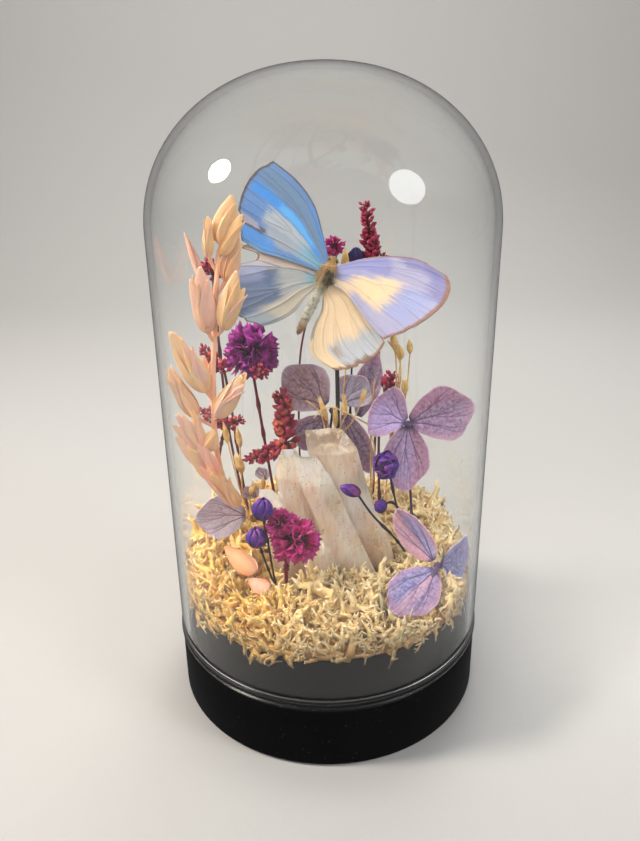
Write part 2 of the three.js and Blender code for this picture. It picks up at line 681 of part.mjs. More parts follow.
const STRAW = material(0xc9a56a, 0.8);
const [POD_RADIUS, STRAW_RADIUS] = [1.5, 0.4];
const POD_SPRIGS = {
  seed_pods_left: {
    pods: [
      { foot: [-31.8, 5, 84], tip: [-32.8, 4.5, 92] },
      { foot: [-27.8, 5, 82.5], tip: [-28.6, 4.5, 90.5] },
      { foot: [-27.6, 4.6, 73.5], tip: [-29.2, 3.6, 81] },
    ],
    stems: [
      [[-31.9, 5, 85], [-29.4, 5, 70], [-26.5, 4.6, 58], [-25.8, 5, MOSS_FOOT]],
      [[-27.9, 5, 83.4], [-28, 4.9, 74], [-28.2, 5, 64]],
    ],
  },
  seed_pods_centre: {
    pods: [
      { foot: [0.6, 5, 91.5], tip: [-2, 4, 100.5] },
      { foot: [3.2, 4.6, 89.5], tip: [3, 3.8, 97.5] },
      { foot: [6.4, 5, 92.5], tip: [5.8, 4, 101.5] },
    ],
    stems: [
      [[0.8, 5, 92.5], [0.4, 7.2, 78], [-0.6, 9, 60], [-1, 10, MOSS_FOOT]],
      [[3.2, 4.8, 90.5], [1.6, 6.6, 82], [0, 8, 70]],
      [[6.4, 5, 93.5], [3.2, 6.4, 84], [0, 8, 70]],
    ],
  },
};
for (const [name, { pods, stems }] of Object.entries(POD_SPRIGS)) {
  const husks = pods.map((shape) => spindle({ radius: POD_RADIUS, sides: 5, ...shape }));
  const straws = stems.map((route) => stem(route, STRAW_RADIUS, 4, 4));
  place(name, joined([...husks, ...straws]), STRAW);
}

export default display;
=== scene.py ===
# %% [markdown]
# # A butterfly under glass
# The display is a black turned base, a blown glass dome, a bed of bleached moss, a quartz
# cluster, dried flowers and a butterfly on a wire. The frame holds a plain solid for each
# piece. This lesson stands a detailed mesh in the place of each of them.

# %% Load the frame
import math
import random

import bmesh
import bpy
import numpy as np
from mathutils import Matrix, Vector, noise


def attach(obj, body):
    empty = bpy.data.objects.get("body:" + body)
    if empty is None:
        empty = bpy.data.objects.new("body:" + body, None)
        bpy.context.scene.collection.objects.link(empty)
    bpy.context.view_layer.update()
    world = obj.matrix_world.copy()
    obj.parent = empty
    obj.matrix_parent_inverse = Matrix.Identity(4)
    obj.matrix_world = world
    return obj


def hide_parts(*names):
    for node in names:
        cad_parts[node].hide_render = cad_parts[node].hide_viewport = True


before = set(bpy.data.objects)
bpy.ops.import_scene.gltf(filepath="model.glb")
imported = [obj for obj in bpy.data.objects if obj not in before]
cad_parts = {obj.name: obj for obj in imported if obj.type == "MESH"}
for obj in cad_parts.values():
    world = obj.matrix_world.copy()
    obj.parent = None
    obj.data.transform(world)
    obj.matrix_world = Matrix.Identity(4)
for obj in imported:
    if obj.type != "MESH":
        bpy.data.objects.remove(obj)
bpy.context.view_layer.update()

# %% [markdown]
# The sizes here are the frame's own, in millimetres. Blender works in metres, so each mesh is
# scaled once, when it is made. A fixed seed keeps every run the same.

# %% Driving sizes, in millimetres
MM = 0.001
SEED = 7
BASE_RADIUS, LEDGE_HEIGHT = 50.0, 22.0
PLINTH_RADIUS, PLINTH_HEIGHT = 45.5, 38.0
GLASS_RADIUS, GLASS_WALL, RIM_HEIGHT = 50.0, 2.0, 3.6
WALL_HEIGHT, CAP_RISE, CAP_POWER = 154.5, 43.5, 2.08
MOSS_TOP, GAP = 46.0, 0.3
MOSS_FOOT = MOSS_TOP + GAP
dice = random.Random(SEED)
print("the display is", 2 * BASE_RADIUS, "mm wide and", WALL_HEIGHT + CAP_RISE, "mm tall")

# %% [markdown]
# Node trees get long when every link is written out. These two small classes keep them short.
# A Socket is one output of a node, and arithmetic on it adds a Math node. A Tree adds any other
# node with one method: its type, then its settings, then what its sockets get.

# %% Sockets and trees
class Socket:
    """One output of a node. Sums, products and comparisons with it are Math nodes."""

    def __init__(self, tree, output):
        self.tree, self.output = tree, output

    def math(self, operation, *others, first=False):
        values = [*others, self] if first else [self, *others]
        return self.tree.node("ShaderNodeMath", {"operation": operation}, dict(enumerate(values)))

    def __add__(self, other):
        return self.math("ADD", other)

    def __radd__(self, other):
        return self.math("ADD", other)

    def __sub__(self, other):
        return self.math("SUBTRACT", other)

    def __rsub__(self, other):
        return self.math("SUBTRACT", other, first=True)

    def __mul__(self, other):
        return self.math("MULTIPLY", other)

    def __rmul__(self, other):
        return self.math("MULTIPLY", other)

    def __pow__(self, other):
        return self.math("POWER", other)

    def __abs__(self):
        return self.math("ABSOLUTE")

    def least(self, other):
        return self.math("MINIMUM", other)

    def most(self, other):
        return self.math("MAXIMUM", other)

    def rise(self, low, high):
        """0 below low and 1 above high, with a smooth step between. It falls if low > high."""
        return self.tree.node("ShaderNodeMapRange", {"interpolation_type": "SMOOTHSTEP"},
                              {"Value": self, "From Min": low, "From Max": high})


class Tree:
    """A node tree that is written as expressions."""

    def __init__(self, tree):
        self.tree = tree

    def set(self, socket, value):
        if isinstance(value, Socket):
            self.tree.links.new(value.output, socket)
        elif socket.type == "RGBA" and len(value) == 3:
            socket.default_value = (*value, 1)
        else:
            socket.default_value = value

    def node(self, kind, settings=None, sockets=None, output=0):
        node = self.tree.nodes.new(kind)
        for name, value in (settings or {}).items():
            if name == "stops":
                ramp = node.color_ramp.elements
                while len(ramp) < len(value):
                    ramp.new(1)
                for stop, (place, colour) in zip(ramp, value):
                    stop.position = place
                    stop.color = (*colour, 1)
            else:
                setattr(node, name, value)
        for name, value in (sockets or {}).items():
            self.set(node.inputs[name], value)
        return Socket(self, node.outputs[output])

    def vector(self, operation, a, b, output=0):
        return self.node("ShaderNodeVectorMath", {"operation": operation}, {0: a, 1: b}, output)

    def xyz(self, x, y, z):
        return self.node("ShaderNodeCombineXYZ", None, {0: x, 1: y, 2: z})

print("fixed seed:", SEED)

# %% [markdown]
# A finish is a material under construction. Patterns are given by the size of their spots in
# millimetres, and read either Object coordinates or values stored on the mesh's points. What
# stays the same all over a piece is set on the shader's own sockets.

# %% Finishes
def srgb(*channels):
    """A colour as shown on a screen, 0 to 255, as the linear one that shaders use."""
    return tuple(((c / 255 + 0.055) / 1.055) ** 2.4 if c > 10 else c / 255 / 12.92 for c in channels)


class Finish(Tree):
    """A material, and the patterns that feed it."""

    def __init__(self, name):
        self.material = bpy.data.materials.new(name)
        self.material.use_nodes = True
        self.material.node_tree.nodes.clear()
        super().__init__(self.material.node_tree)
        self.here = self.node("ShaderNodeTexCoord", output="Object")

    def value(self, name):
        return self.node("ShaderNodeAttribute", {"attribute_name": name}, output="Fac")

    def colour(self, name):
        return self.node("ShaderNodeAttribute", {"attribute_name": name}, output="Color")

    def place(self, axis):
        """How far along the X, Y or Z axis, in metres."""
        return self.node("ShaderNodeSeparateXYZ", None, {0: self.here}, output="XYZ".index(axis))

    def cloud(self, size, detail=2.0, where=None):
        """Soft noise whose spots are about size millimetres, or size units of another place."""
        scale = 1 / size if where is not None else 1 / (size * MM)
        sockets = {"Vector": where or self.here, "Scale": scale, "Detail": detail}
        return self.node("ShaderNodeTexNoise", None, sockets)

    def cells(self, size, feature="F1"):
        sockets = {"Vector": self.here, "Scale": 1 / (size * MM)}
        return self.node("ShaderNodeTexVoronoi", {"feature": feature}, sockets)

    def mix(self, factor, a, b):
        return self.node("ShaderNodeMix", {"data_type": "RGBA"}, {0: factor, 6: a, 7: b}, output=2)

    def bump(self, height, depth):
        """A relief whose height of 0 to 1 is depth millimetres deep."""
        return self.node("ShaderNodeBump", None, {"Height": height, "Distance": depth * MM})

    def shade(self, **sockets):
        """The Principled shader, and the output. Socket names are written with underscores."""
        named = {name.replace("_", " "): value for name, value in sockets.items()}
        shader = self.node("ShaderNodeBsdfPrincipled", None, named)
        self.node_output(shader)
        return self.material

    def node_output(self, shader):
        out = self.tree.nodes.new("ShaderNodeOutputMaterial")
        self.tree.links.new(shader.output, out.inputs["Surface"])

print("a mid grey of 128 is", round(srgb(128)[0], 3), "in a shader")

# %% [markdown]
# Each mesh is gathered in a Piece: its points, its faces, and numbers or colours that its
# points carry for the shader. Making it scales it to metres, turns its faces outwards and
# leaves its object at the origin.

# %% Pieces
class Piece:
    """Points in millimetres, faces, and named values per point: the same names for each part."""

    def __init__(self):
        self.points, self.faces, self.values, self.count = [], [], {}, 0

    def add(self, points, faces, **values):
        points = np.asarray(points, float).reshape(-1, 3)
        self.faces += [tuple(self.count + corner for corner in face) for face in faces]
        for name, value in values.items():
            value = np.asarray(value, float)
            if value.ndim == 0 or value.shape == (3,):
                value = np.broadcast_to(value, (len(points), *value.shape))
            self.values.setdefault(name, []).append(value)
        self.points.append(points)
        self.count += len(points)
        return self

    def make(self, name, finish, outward=True):
        """The mesh object, at the origin, in metres."""
        mesh = bpy.data.meshes.new(name)
        mesh.from_pydata((np.concatenate(self.points) * MM).tolist(), [], self.faces)
        for label, parts in self.values.items():
            values = np.concatenate(parts)
            if values.ndim == 1:
                mesh.attributes.new(label, "FLOAT", "POINT").data.foreach_set("value", values)
            else:
                rgba = np.column_stack([values, np.ones(len(values))])
                layer = mesh.attributes.new(label, "FLOAT_COLOR", "POINT")
                layer.data.foreach_set("color", rgba.ravel())
        if outward:
            turn_outwards(mesh)
        mesh.shade_smooth()
        if finish:
            mesh.materials.append(finish)
        obj = bpy.data.objects.new(name, mesh)
        bpy.context.scene.collection.objects.link(obj)
        return obj


def turn_outwards(mesh):
    work = bmesh.new()
    work.from_mesh(mesh)
    bmesh.ops.recalc_face_normals(work, faces=work.faces)
    work.to_mesh(mesh)
    work.free()


def settle(obj, slot, *nodes):
    """Says that the piece rides on the display and stands for nodes, whose plain solids it hides. The slot
    is not used.
    """
    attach(obj, "root")
    if nodes:
        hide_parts(*nodes)
    print(obj.name, "faces:", len(obj.data.polygons))

print("metres in a millimetre:", MM)

# %% [markdown]
# Four shapes make nearly everything: a turned profile, a round tube along a curve, a closed thin
# sheet over a grid of points, and a smooth curve through a few points.

# %% Shapes
def unit(vector):
    vector = np.asarray(vector, float)
    return vector / (np.linalg.norm(vector, axis=-1, keepdims=True) + 1e-12)


def curve(points, share):
    """The smooth curve through the points, at shares from 0 to 1 of its length."""
    points = np.asarray(points, float)
    last = len(points) - 1
    place = np.clip(np.asarray(share, float), 0, 1) * last
    index = np.minimum(place.astype(int), last - 1)
    w = (place - index)[..., None]
    p0, p1 = points[np.maximum(index - 1, 0)], points[index]
    p2, p3 = points[index + 1], points[np.minimum(index + 2, last)]
    v0, v1 = (p2 - p0) / 2, (p3 - p1) / 2
    return (2 * p1 - 2 * p2 + v0 + v1) * w**3 + (-3 * p1 + 3 * p2 - 2 * v0 - v1) * w**2 + v0 * w + p1


def turned(profile, segments):
    """Points and faces of a profile of (radius, height) turned about the Z axis."""
    angles = np.linspace(0, 2 * math.pi, segments, endpoint=False)
    points, rings = [], []
    for radius, height in profile:
        start = len(points)
        if radius < 1e-6:
            points.append((0, 0, height))
            rings.append([start] * segments)
        else:
            points += [(radius * math.cos(a), radius * math.sin(a), height) for a in angles]
            rings.append(list(range(start, start + segments)))
    faces = []
    for low, high in zip(rings, rings[1:]):
        for i in range(segments):
            j = (i + 1) % segments
            corners = dict.fromkeys((low[i], low[j], high[j], high[i]))
            faces.append(tuple(corners))
    return points, faces


def tube(route, radii, steps=12, sides=6):
    """Points, faces and shares of a tapering tube with pointed ends along a route."""
    shares = np.linspace(0, 1, steps + 1)
    path = curve(route, shares)
    radius = np.interp(shares, np.linspace(0, 1, len(radii)), radii)
    along = unit(np.gradient(path, axis=0))
    side = unit(np.cross(along[0], (0.31, 0.87, 0.38)))
    points, faces = [], []
    for centre, direction, r in zip(path, along, radius):
        side = unit(side - direction * np.dot(side, direction))
        other = np.cross(direction, side)
        for k in range(sides):
            angle = 2 * math.pi * k / sides
            points.append(centre + r * (math.cos(angle) * side + math.sin(angle) * other))
    for ring in range(steps):
        for k in range(sides):
            a, b = ring * sides + k, ring * sides + (k + 1) % sides
            faces.append((a, b, b + sides, a + sides))
    ends = [path[0] - along[0] * radius[0] * 0.4, path[-1] + along[-1] * radius[-1] * 0.8]
    foot, tip, last = len(points), len(points) + 1, steps * sides
    points += ends
    faces += [(foot, (k + 1) % sides, k) for k in range(sides)]
    faces += [(tip, last + k, last + (k + 1) % sides) for k in range(sides)]
    return points, faces, np.append(np.repeat(shares, sides), (0, 1))


def sheet(grid, thickness):
    """Points and faces of a thin closed sheet round a grid, and 1 or 0 for its two sides."""
    rows, columns = grid.shape[:2]
    normal = unit(np.cross(np.gradient(grid, axis=0), np.gradient(grid, axis=1)))
    points = np.concatenate([grid + normal * thickness / 2, grid - normal * thickness / 2])
    layer = rows * columns
    vertex = np.arange(layer).reshape(rows, columns)
    faces = []
    for r in range(rows - 1):
        for c in range(columns - 1):
            quad = (vertex[r, c], vertex[r + 1, c], vertex[r + 1, c + 1], vertex[r, c + 1])
            faces.append(quad)
            faces.append(tuple(layer + corner for corner in reversed(quad)))
    edge = [*vertex[:, 0], *vertex[-1, 1:], *vertex[-2::-1, -1], *vertex[0, -2:0:-1]]
    for a, b in zip(edge, edge[1:] + edge[:1]):
        faces.append((b, a, layer + a, layer + b))
    return points.reshape(-1, 3), faces, np.repeat((1.0, 0.0), layer)


def grid_of(rows, columns):
    """Shares along and across a grid of points."""
    return np.meshgrid(np.linspace(0, 1, rows), np.linspace(0, 1, columns), indexing="ij")


def twice(values):
    """A grid's values for both sides of its sheet."""
    return np.tile(values.ravel(), 2)


def ball(centre, radius, segments=12, rings=8):
    """Points and faces of a round bead."""
    angles = np.linspace(-math.pi / 2, math.pi / 2, rings + 1)
    points, faces = turned([(radius * math.cos(a), radius * math.sin(a)) for a in angles], segments)
    return np.array(points) + centre, faces


def stood(points, foot, tip, facing=(0, -1, 0)):
    """Points from a shape's own frame, Z from its foot and -Y to its front, to the display's."""
    along = unit(np.subtract(tip, foot))
    across = unit(np.cross(along, facing))
    return np.array(foot) + np.asarray(points) @ np.array((across, np.cross(along, across), along))

print("points of a bead:", len(ball((0, 0, 0), 1)[0]))

# %% [markdown]
# ## Where it is seen from
# The camera looks down on the display by about 25 degrees, from a quarter of a metre away. It
# could be aimed at an empty with a constraint. Its own axes are written out here instead, which
# keeps its slight roll.

# %% Camera
CAMERA_PLACE = (-1.75, -242.2, 205.0)
LOOK_DOWN, ROLL = 0.4306, -0.0163             # radians
FOCAL_PIXELS, FRAME_HEIGHT_PIXELS = 850, 841
SENSOR = 36.0

def place_camera():
    ahead = Vector((0, math.cos(LOOK_DOWN), -math.sin(LOOK_DOWN)))
    level_up = Vector((0, math.sin(LOOK_DOWN), math.cos(LOOK_DOWN)))
    right = math.cos(ROLL) * Vector((1, 0, 0)) + math.sin(ROLL) * level_up
    up = math.cos(ROLL) * level_up - math.sin(ROLL) * Vector((1, 0, 0))
    data = bpy.data.cameras.new("camera")
    data.sensor_width = SENSOR
    data.lens = FOCAL_PIXELS * SENSOR / FRAME_HEIGHT_PIXELS
    data.clip_start = 0.01
    camera = bpy.data.objects.new("camera", data)
    turn = Matrix((right, up, -ahead)).transposed().to_4x4()
    camera.matrix_world = Matrix.Translation(Vector(CAMERA_PLACE) * MM) @ turn
    bpy.context.scene.collection.objects.link(camera)
    bpy.context.scene.camera = camera
    print("lens:", round(data.lens, 2), "mm")

place_camera()

# %% [markdown]
# Round lamps at both sides light the display and show as two bright spots high on the glass.
# The other lamps are kept out of reflections, because glass that mirrors every lamp hides what
# is inside. A picture of a studio wrapped round the scene could light it too, but its spots
# couldn't be placed one by one.

# %% Lamps and surroundings
def add_lamp(name, place, target, size, power, colour, mirrored):
    """A round lamp. Glass shows it as a bright spot only if it is mirrored."""
    data = bpy.data.lights.new(name, "AREA")
    data.shape, data.size = "DISK", size * MM
    data.energy, data.color = power, colour
    lamp = bpy.data.objects.new(name, data)
    place, target = Vector(place) * MM, Vector(target) * MM
    lamp.matrix_world = (Matrix.Translation(place)
                         @ (target - place).to_track_quat("-Z", "Y").to_matrix().to_4x4())
    lamp.visible_glossy = mirrored
    lamp.visible_transmission = False
    bpy.context.scene.collection.objects.link(lamp)
    print(name, power, "W")


add_lamp("key_lamp", (-423, -69, 475), (0, 0, 100), 130, 2.5, (1.0, 0.92, 0.82), True)
add_lamp("side_lamp", (389, -242, 442), (0, 0, 100), 210, 1.0, (0.96, 0.98, 1.0), True)
add_lamp("front_lamp", (-120, -620, 420), (0, 0, 90), 400, 1.3, (1.0, 0.97, 0.93), False)
add_lamp("back_lamp", (120, 400, 420), (0, 0, 110), 300, 0.7, (1.0, 0.98, 0.95), False)
add_lamp("wall_lamp", (0, 180, 700), (0, 720, 200), 400, 2.0, (1.0, 0.99, 0.97), False)

world = bpy.data.worlds.new("studio")
world.use_nodes = True
world.node_tree.nodes["Background"].inputs["Color"].default_value = (0.86, 0.88, 0.92, 1)
world.node_tree.nodes["Background"].inputs["Strength"].default_value = 0.12
bpy.context.scene.world = world
bpy.context.scene.view_settings.view_transform = "Standard"
bpy.context.scene.cycles.use_denoising = True

# %% [markdown]
# The floor is a roll of pale paper that curves up into a back wall, because two flat planes
# would show a hard line where they meet. It is kept out of reflections too.

# %% Floor
def sweep():
    """A floor that curves up into a back wall, as a roll of paper hangs in a studio."""
    HALF_WIDTH, NEAR, FAR, BEND, TALL, STEPS = 900, -480, 420, 300, 1200, 12
    profile = [(NEAR, 0), (FAR, 0)]
    for step in range(1, STEPS + 1):
        angle = math.pi / 2 * step / STEPS
        profile.append((FAR + BEND * math.sin(angle), BEND * (1 - math.cos(angle))))
    profile.append((FAR + BEND, TALL))
    points = [(x, y, z) for y, z in profile for x in (-HALF_WIDTH, HALF_WIDTH)]
    faces = [(2 * i, 2 * i + 1, 2 * i + 3, 2 * i + 2) for i in range(len(profile) - 1)]
    paper = Finish("pale_paper")
    fibre = paper.cloud(0.6, 3)
    shade = paper.mix(fibre, srgb(205, 203, 201), srgb(212, 211, 209))
    finish = paper.shade(Base_Color=shade, Roughness=0.85, Normal=paper.bump(fibre, 0.02))
    floor = Piece().add(points, faces).make("floor", finish, outward=False)
    floor.visible_glossy = False
    print("floor faces:", len(faces))


sweep()

# %% [markdown]
# ## The base
# The base is turned from wood and painted satin black. A ledge carries the glass, and a plinth
# rises inside it. It could be a lathe modifier on a curve; turning a short profile in code keeps
# its rounded edges exact. A little dust has settled on the paint, so specks lighten it.

# %% Base
def rounded(profile, radius, steps=4):
    """The profile with each inner corner replaced by an arc of about that radius."""
    points = [np.asarray(p, float) for p in profile]
    out = [points[0]]
    for before, corner, after in zip(points, points[1:], points[2:]):
        reach = min(radius, np.linalg.norm(before - corner) / 2, np.linalg.norm(after - corner) / 2)
        start, end = corner + unit(before - corner) * reach, corner + unit(after - corner) * reach
        for share in np.linspace(0, 1, steps + 1):
            first, second = start + (corner - start) * share, corner + (end - corner) * share
            out.append(first + (second - first) * share)
    return [*out, points[-1]]


def black_paint():
    paint = Finish("satin_black_paint")
    turning = paint.node("ShaderNodeTexWave", {"bands_direction": "Z", "wave_profile": "SIN"},
                         {"Vector": paint.here, "Scale": 900.0, "Distortion": 1.5})
    speck = paint.cells(1.3).rise(0.13, 0.05) * paint.cloud(7, 3).rise(0.48, 0.6)
    lint = paint.cells(0.55).rise(0.10, 0.04) * paint.cloud(16, 2).rise(0.5, 0.62)
    dust = speck.most(lint * 0.8)
    wear = paint.cloud(9, 4)
    black = paint.mix(wear, srgb(10, 9, 10), srgb(19, 17, 17))
    dusty = paint.mix(dust * 0.55, black, srgb(150, 145, 138))
    relief = turning * 0.25 + paint.cloud(0.5, 3) * 0.5 + dust
    return paint.shade(Base_Color=dusty, Roughness=wear * 0.18 + 0.27 + dust * 0.3,
                       Normal=paint.bump(relief, 0.03), Specular_IOR_Level=0.15)


FOOT_CHAMFER, SOFT_EDGE, ROUND_SEGMENTS = 1.0, 0.8, 160
base_profile = rounded([
    (0, 0),
    (BASE_RADIUS - FOOT_CHAMFER, 0),
    (BASE_RADIUS, FOOT_CHAMFER),
    (BASE_RADIUS, LEDGE_HEIGHT),
    (PLINTH_RADIUS, LEDGE_HEIGHT),
    (PLINTH_RADIUS, PLINTH_HEIGHT),
    (0, PLINTH_HEIGHT),
], SOFT_EDGE)
base = Piece().add(*turned(base_profile, ROUND_SEGMENTS)).make("turned_base", black_paint())
settle(base, "black_wood", "base")

# %% [markdown]
# ## The glass dome
# The dome is blown in one piece. Its wall is 2 mm thick, its top is rounded a little squarer
# than a ball, and its rim was melted smooth, which left it thicker than the wall. The shell is
# turned as one closed profile, up the outside and down the inside. Lamps would leave the glass
# dark inside if their light had to bend through it, so for shadow rays the shader is clear.

# %% Glass
def cap(radius, rise, steps=28):
    """The rounded top from the wall up to the axis."""
    for step in range(steps + 1):
        angle = math.pi / 2 * step / steps
        out = 0 if step == steps else math.cos(angle) ** (2 / CAP_POWER)
        yield radius * out, WALL_HEIGHT + rise * math.sin(angle) ** (2 / CAP_POWER)


def glass_profile():
    """The closed profile. Two rings hold the wall straight just above the rim and the dome's start,
    since smoothing from the rim's slope would otherwise bend the wall like a lens all the way up."""
    LIP, EDGE, RUN_OUT, HOLD = 0.35, 0.8, 2.2, 0.5
    foot, inner = LEDGE_HEIGHT + GAP, GLASS_RADIUS - GLASS_WALL
    held = [foot + RIM_HEIGHT + HOLD, WALL_HEIGHT - HOLD]
    outside = [(GLASS_RADIUS + LIP, foot + RIM_HEIGHT - RUN_OUT), (GLASS_RADIUS, foot + RIM_HEIGHT)]
    inside = [(inner, foot + RIM_HEIGHT), (inner - LIP, foot + RIM_HEIGHT - RUN_OUT)]
    rim = [inside[0], inside[1], (inner - LIP, foot), (GLASS_RADIUS + LIP, foot), *outside]
    rim = rounded(rim, EDGE, 5)
    down = [*list(cap(inner, CAP_RISE - GLASS_WALL))[::-1], *((inner, z) for z in held[::-1])]
    return [*down, *rim, *((GLASS_RADIUS, z) for z in held), *cap(GLASS_RADIUS, CAP_RISE)]


def clear_glass():
    glass = Finish("clear_glass")
    body = glass.node("ShaderNodeBsdfPrincipled", None, {
        "Base Color": (0.985, 0.995, 0.99), "Roughness": 0.0, "IOR": 1.5,
        "Specular IOR Level": 0.3, "Transmission Weight": 1.0})
    clear = glass.node("ShaderNodeBsdfTransparent", None, {"Color": (0.97, 0.98, 0.975)})
    shadow = glass.node("ShaderNodeLightPath", output="Is Shadow Ray")
    glass.node_output(glass.node("ShaderNodeMixShader", None, {0: shadow, 1: body, 2: clear}))
    return glass.material


dome = Piece().add(*turned(glass_profile(), ROUND_SEGMENTS)).make("blown_dome", clear_glass())
settle(dome, "clear_glass", "glass_dome")

# %% [markdown]
# ## The butterfly's wings
# A wing is a dry membrane over a fan of veins, covered with tiny coloured scales. Each one is
# blended between its leading edge, its trailing edge and its outer margin, as the frame's wings
# are, on a fine grid. The veins stand a little proud and the membrane sags between them. Every
# point carries its share of the way out and of the way across, so the veins and the coloured
# fields are drawn in the wing's own directions and follow its curves.

# %% Wing shapes
LEAN = math.radians(90 - 25)
THORAX = np.array((1, 3, 139.5))
WING_LIFT = 0.16
BODY_FROM, BODY_TO = np.array((1.9, 4.2)), np.array((-8.8, -16.8))
WING_THICKNESS = 0.22
FOREWING_LEVEL, HINDWING_LEVEL = 0.35, -0.75
WINGS = {
    "forewing_left": {
        "leading": [(0.7, 3.7), (-1.1, 12.1), (-3.5, 20.3), (-8.4, 27.2), (-15.2, 32.6)],
        "margin": [(-15.2, 32.6), (-20.0, 29.8), (-23.8, 24.2), (-25.6, 17), (-24.6, 9.6)],
        "trailing": [(-1.6, 0.6), (-7.9, 3.0), (-13.8, 4.8), (-19.1, 6.3), (-24.6, 9.6)],
        "level": FOREWING_LEVEL,
    },
    "forewing_right": {
        "leading": [(2.4, 2.3), (9.7, 4.1), (15.6, 4.7), (21.5, 4.4), (27.4, 2.9), (34.7, -1.8)],
        "margin": [(34.7, -1.8), (35.6, -5.5), (32.4, -10.9), (24.4, -16.5), (16.2, -19.4)],
        "trailing": [(0.8, -1.4), (5, -5), (9, -10.5), (12.5, -15.5), (16.2, -19.4)],
        "level": FOREWING_LEVEL,
    },
    "hindwing_left": {
        "leading": [(-1.8, 0.4), (-9, 4.6), (-15, 7.0), (-20, 8.6), (-24.4, 9.0)],
        "margin": [(-24.4, 9.0), (-26.8, 3.0), (-28.6, -6), (-25.6, -12.1), (-19.1, -14.7)],
        "trailing": [(-2.6, -2.8), (-6.4, -6.4), (-9.6, -10.4), (-14.4, -13.3), (-19.1, -14.7)],
        "level": HINDWING_LEVEL,
    },
    "hindwing_right": {
        "leading": [(0.3, -1.9), (6.5, -6), (10.5, -11), (14, -16), (16.5, -20.3)],
        "margin": [(16.5, -20.3), (14.1, -23.8), (9.7, -26.5), (5.3, -27.9), (1.8, -27.9)],
        "trailing": [(-1.4, -4.4), (-1.8, -10), (-4.6, -16), (-4.9, -23), (1.8, -27.9)],
        "level": HINDWING_LEVEL,
    },
}
# Nicks in the outer margin: the place across the wing, half width and depth, as shares.
NICKS = {
    "forewing_left": [(0.74, 0.02, 0.045), (0.12, 0.03, 0.012), (0.9, 0.02, 0.02)],
    "forewing_right": [(0.2, 0.02, 0.01), (0.77, 0.03, 0.012)],
    "hindwing_left": [(0.17, 0.075, 0.28), (0.0, 0.04, 0.1), (0.78, 0.02, 0.03), (0.9, 0.03, 0.02)],
    "hindwing_right": [(0.52, 0.03, 0.03), (0.66, 0.03, 0.015), (0.36, 0.03, 0.015), (0.8, 0.03, 0.015)],
}
# A vein starts at a share of the way out, branches off at one place across and ends at another.
WING_VEINS = [
    (0.0, 0.03, 0.02), (0.0, 0.1, 0.12), (0.0, 0.26, 0.27), (0.42, 0.27, 0.2), (0.46, 0.28, 0.36),
    (0.0, 0.57, 0.56), (0.45, 0.55, 0.46), (0.48, 0.57, 0.67), (0.0, 0.74, 0.79), (0.0, 0.93, 0.94),
]
WING_VEIN_POWER, PETAL_VEIN_POWER = 0.6, 0.75    # below 1, a vein turns away early and then runs straight


def from_wing_frame(points):
    """From the butterfly's own frame, X right, Y up the wings, Z to the front, to the display's."""
    x, y, z = np.moveaxis(np.asarray(points, float), -1, 0)
    cosine, sine = math.cos(LEAN), math.sin(LEAN)
    return np.stack([x, y * cosine - z * sine, y * sine + z * cosine], -1) + THORAX


def vein_place(vein, s, power):
    """Where a vein lies across a wing or a petal, at a share s of the way out."""
    start, branch, end = vein
    return branch + (end - branch) * np.clip((s - start) / (1 - start), 0, 1) ** power


def wing_mesh(name, rows=72, columns=84):
    shape = WINGS[name]
    s, t = grid_of(rows, columns)
    depth = 1 - 0.004 * np.abs(np.sin(37 * t + 2 * np.sin(11 * t)))
    for place, half, deep in NICKS[name]:
        depth -= deep * np.exp(-np.clip((t - place) / half, -3, 3) ** 4)
    s = s * depth
    lead, trail = curve(shape["leading"], s), curve(shape["trailing"], s)
    lead_end, trail_end = curve(shape["leading"], 1.0), curve(shape["trailing"], 1.0)
    t3, s3 = t[..., None], s[..., None]
    outer = curve(shape["margin"], t) - (lead_end + (trail_end - lead_end) * t3)
    flat = lead + (trail - lead) * t3 + outer * s3
    dx, dy = BODY_TO - BODY_FROM
    reach = np.abs((flat[..., 0] - BODY_FROM[0]) * dy - (flat[..., 1] - BODY_FROM[1]) * dx)
    rise = shape["level"] + WING_LIFT * reach / math.hypot(dx, dy)
    nearest = np.min([np.abs(t - vein_place(vein, s, WING_VEIN_POWER)) + (s < vein[0])
                      for vein in WING_VEINS], axis=0)
    pleat = 0.1 * np.exp(-(nearest / 0.012) ** 2) - 1.1 * np.minimum(nearest, 0.08)
    wave = 0.3 * np.sin(5 * t + 4 * s) * s**2 + 0.16 * np.sin(23 * t) * s**3
    width = np.linalg.norm(trail - lead, axis=-1)
    grid = np.dstack([flat, rise + pleat * np.clip(s * 3, 0, 1) + wave])
    points, faces, first_side = sheet(from_wing_frame(grid), WING_THICKNESS)
    upper = 1 - first_side if name.endswith("right") else first_side
    return Piece().add(points, faces, out=twice(s / depth), across=twice(t), upper=upper,
                       width=twice(width))

print("wings:", len(WINGS), "veins in each:", len(WING_VEINS))

# %% [markdown]
# The coloured fields are soft boxes in the wing's two directions: how far out and how far
# across. Streaky noise frays their edges along the veins, as rows of scales do. Near the front
# light the left pair shows azure over grey, and the right pair, which faces another way, lilac
# over cream.

# %% Wing finish
AZURE, SKY, PERIWINKLE = srgb(44, 140, 226), srgb(112, 170, 216), srgb(84, 132, 196)
SLATE, STEEL, INDIGO = srgb(98, 128, 160), srgb(76, 100, 140), srgb(84, 84, 164)
STONE, CREAM, BUTTER = srgb(178, 178, 176), srgb(194, 180, 158), srgb(244, 210, 164)
LILAC, ICE, TURQUOISE = srgb(172, 166, 200), srgb(178, 184, 194), srgb(104, 176, 202)
TAN, AMBER, UMBER, TAUPE = srgb(160, 126, 98), srgb(150, 86, 28), srgb(74, 52, 44), srgb(140, 124, 112)

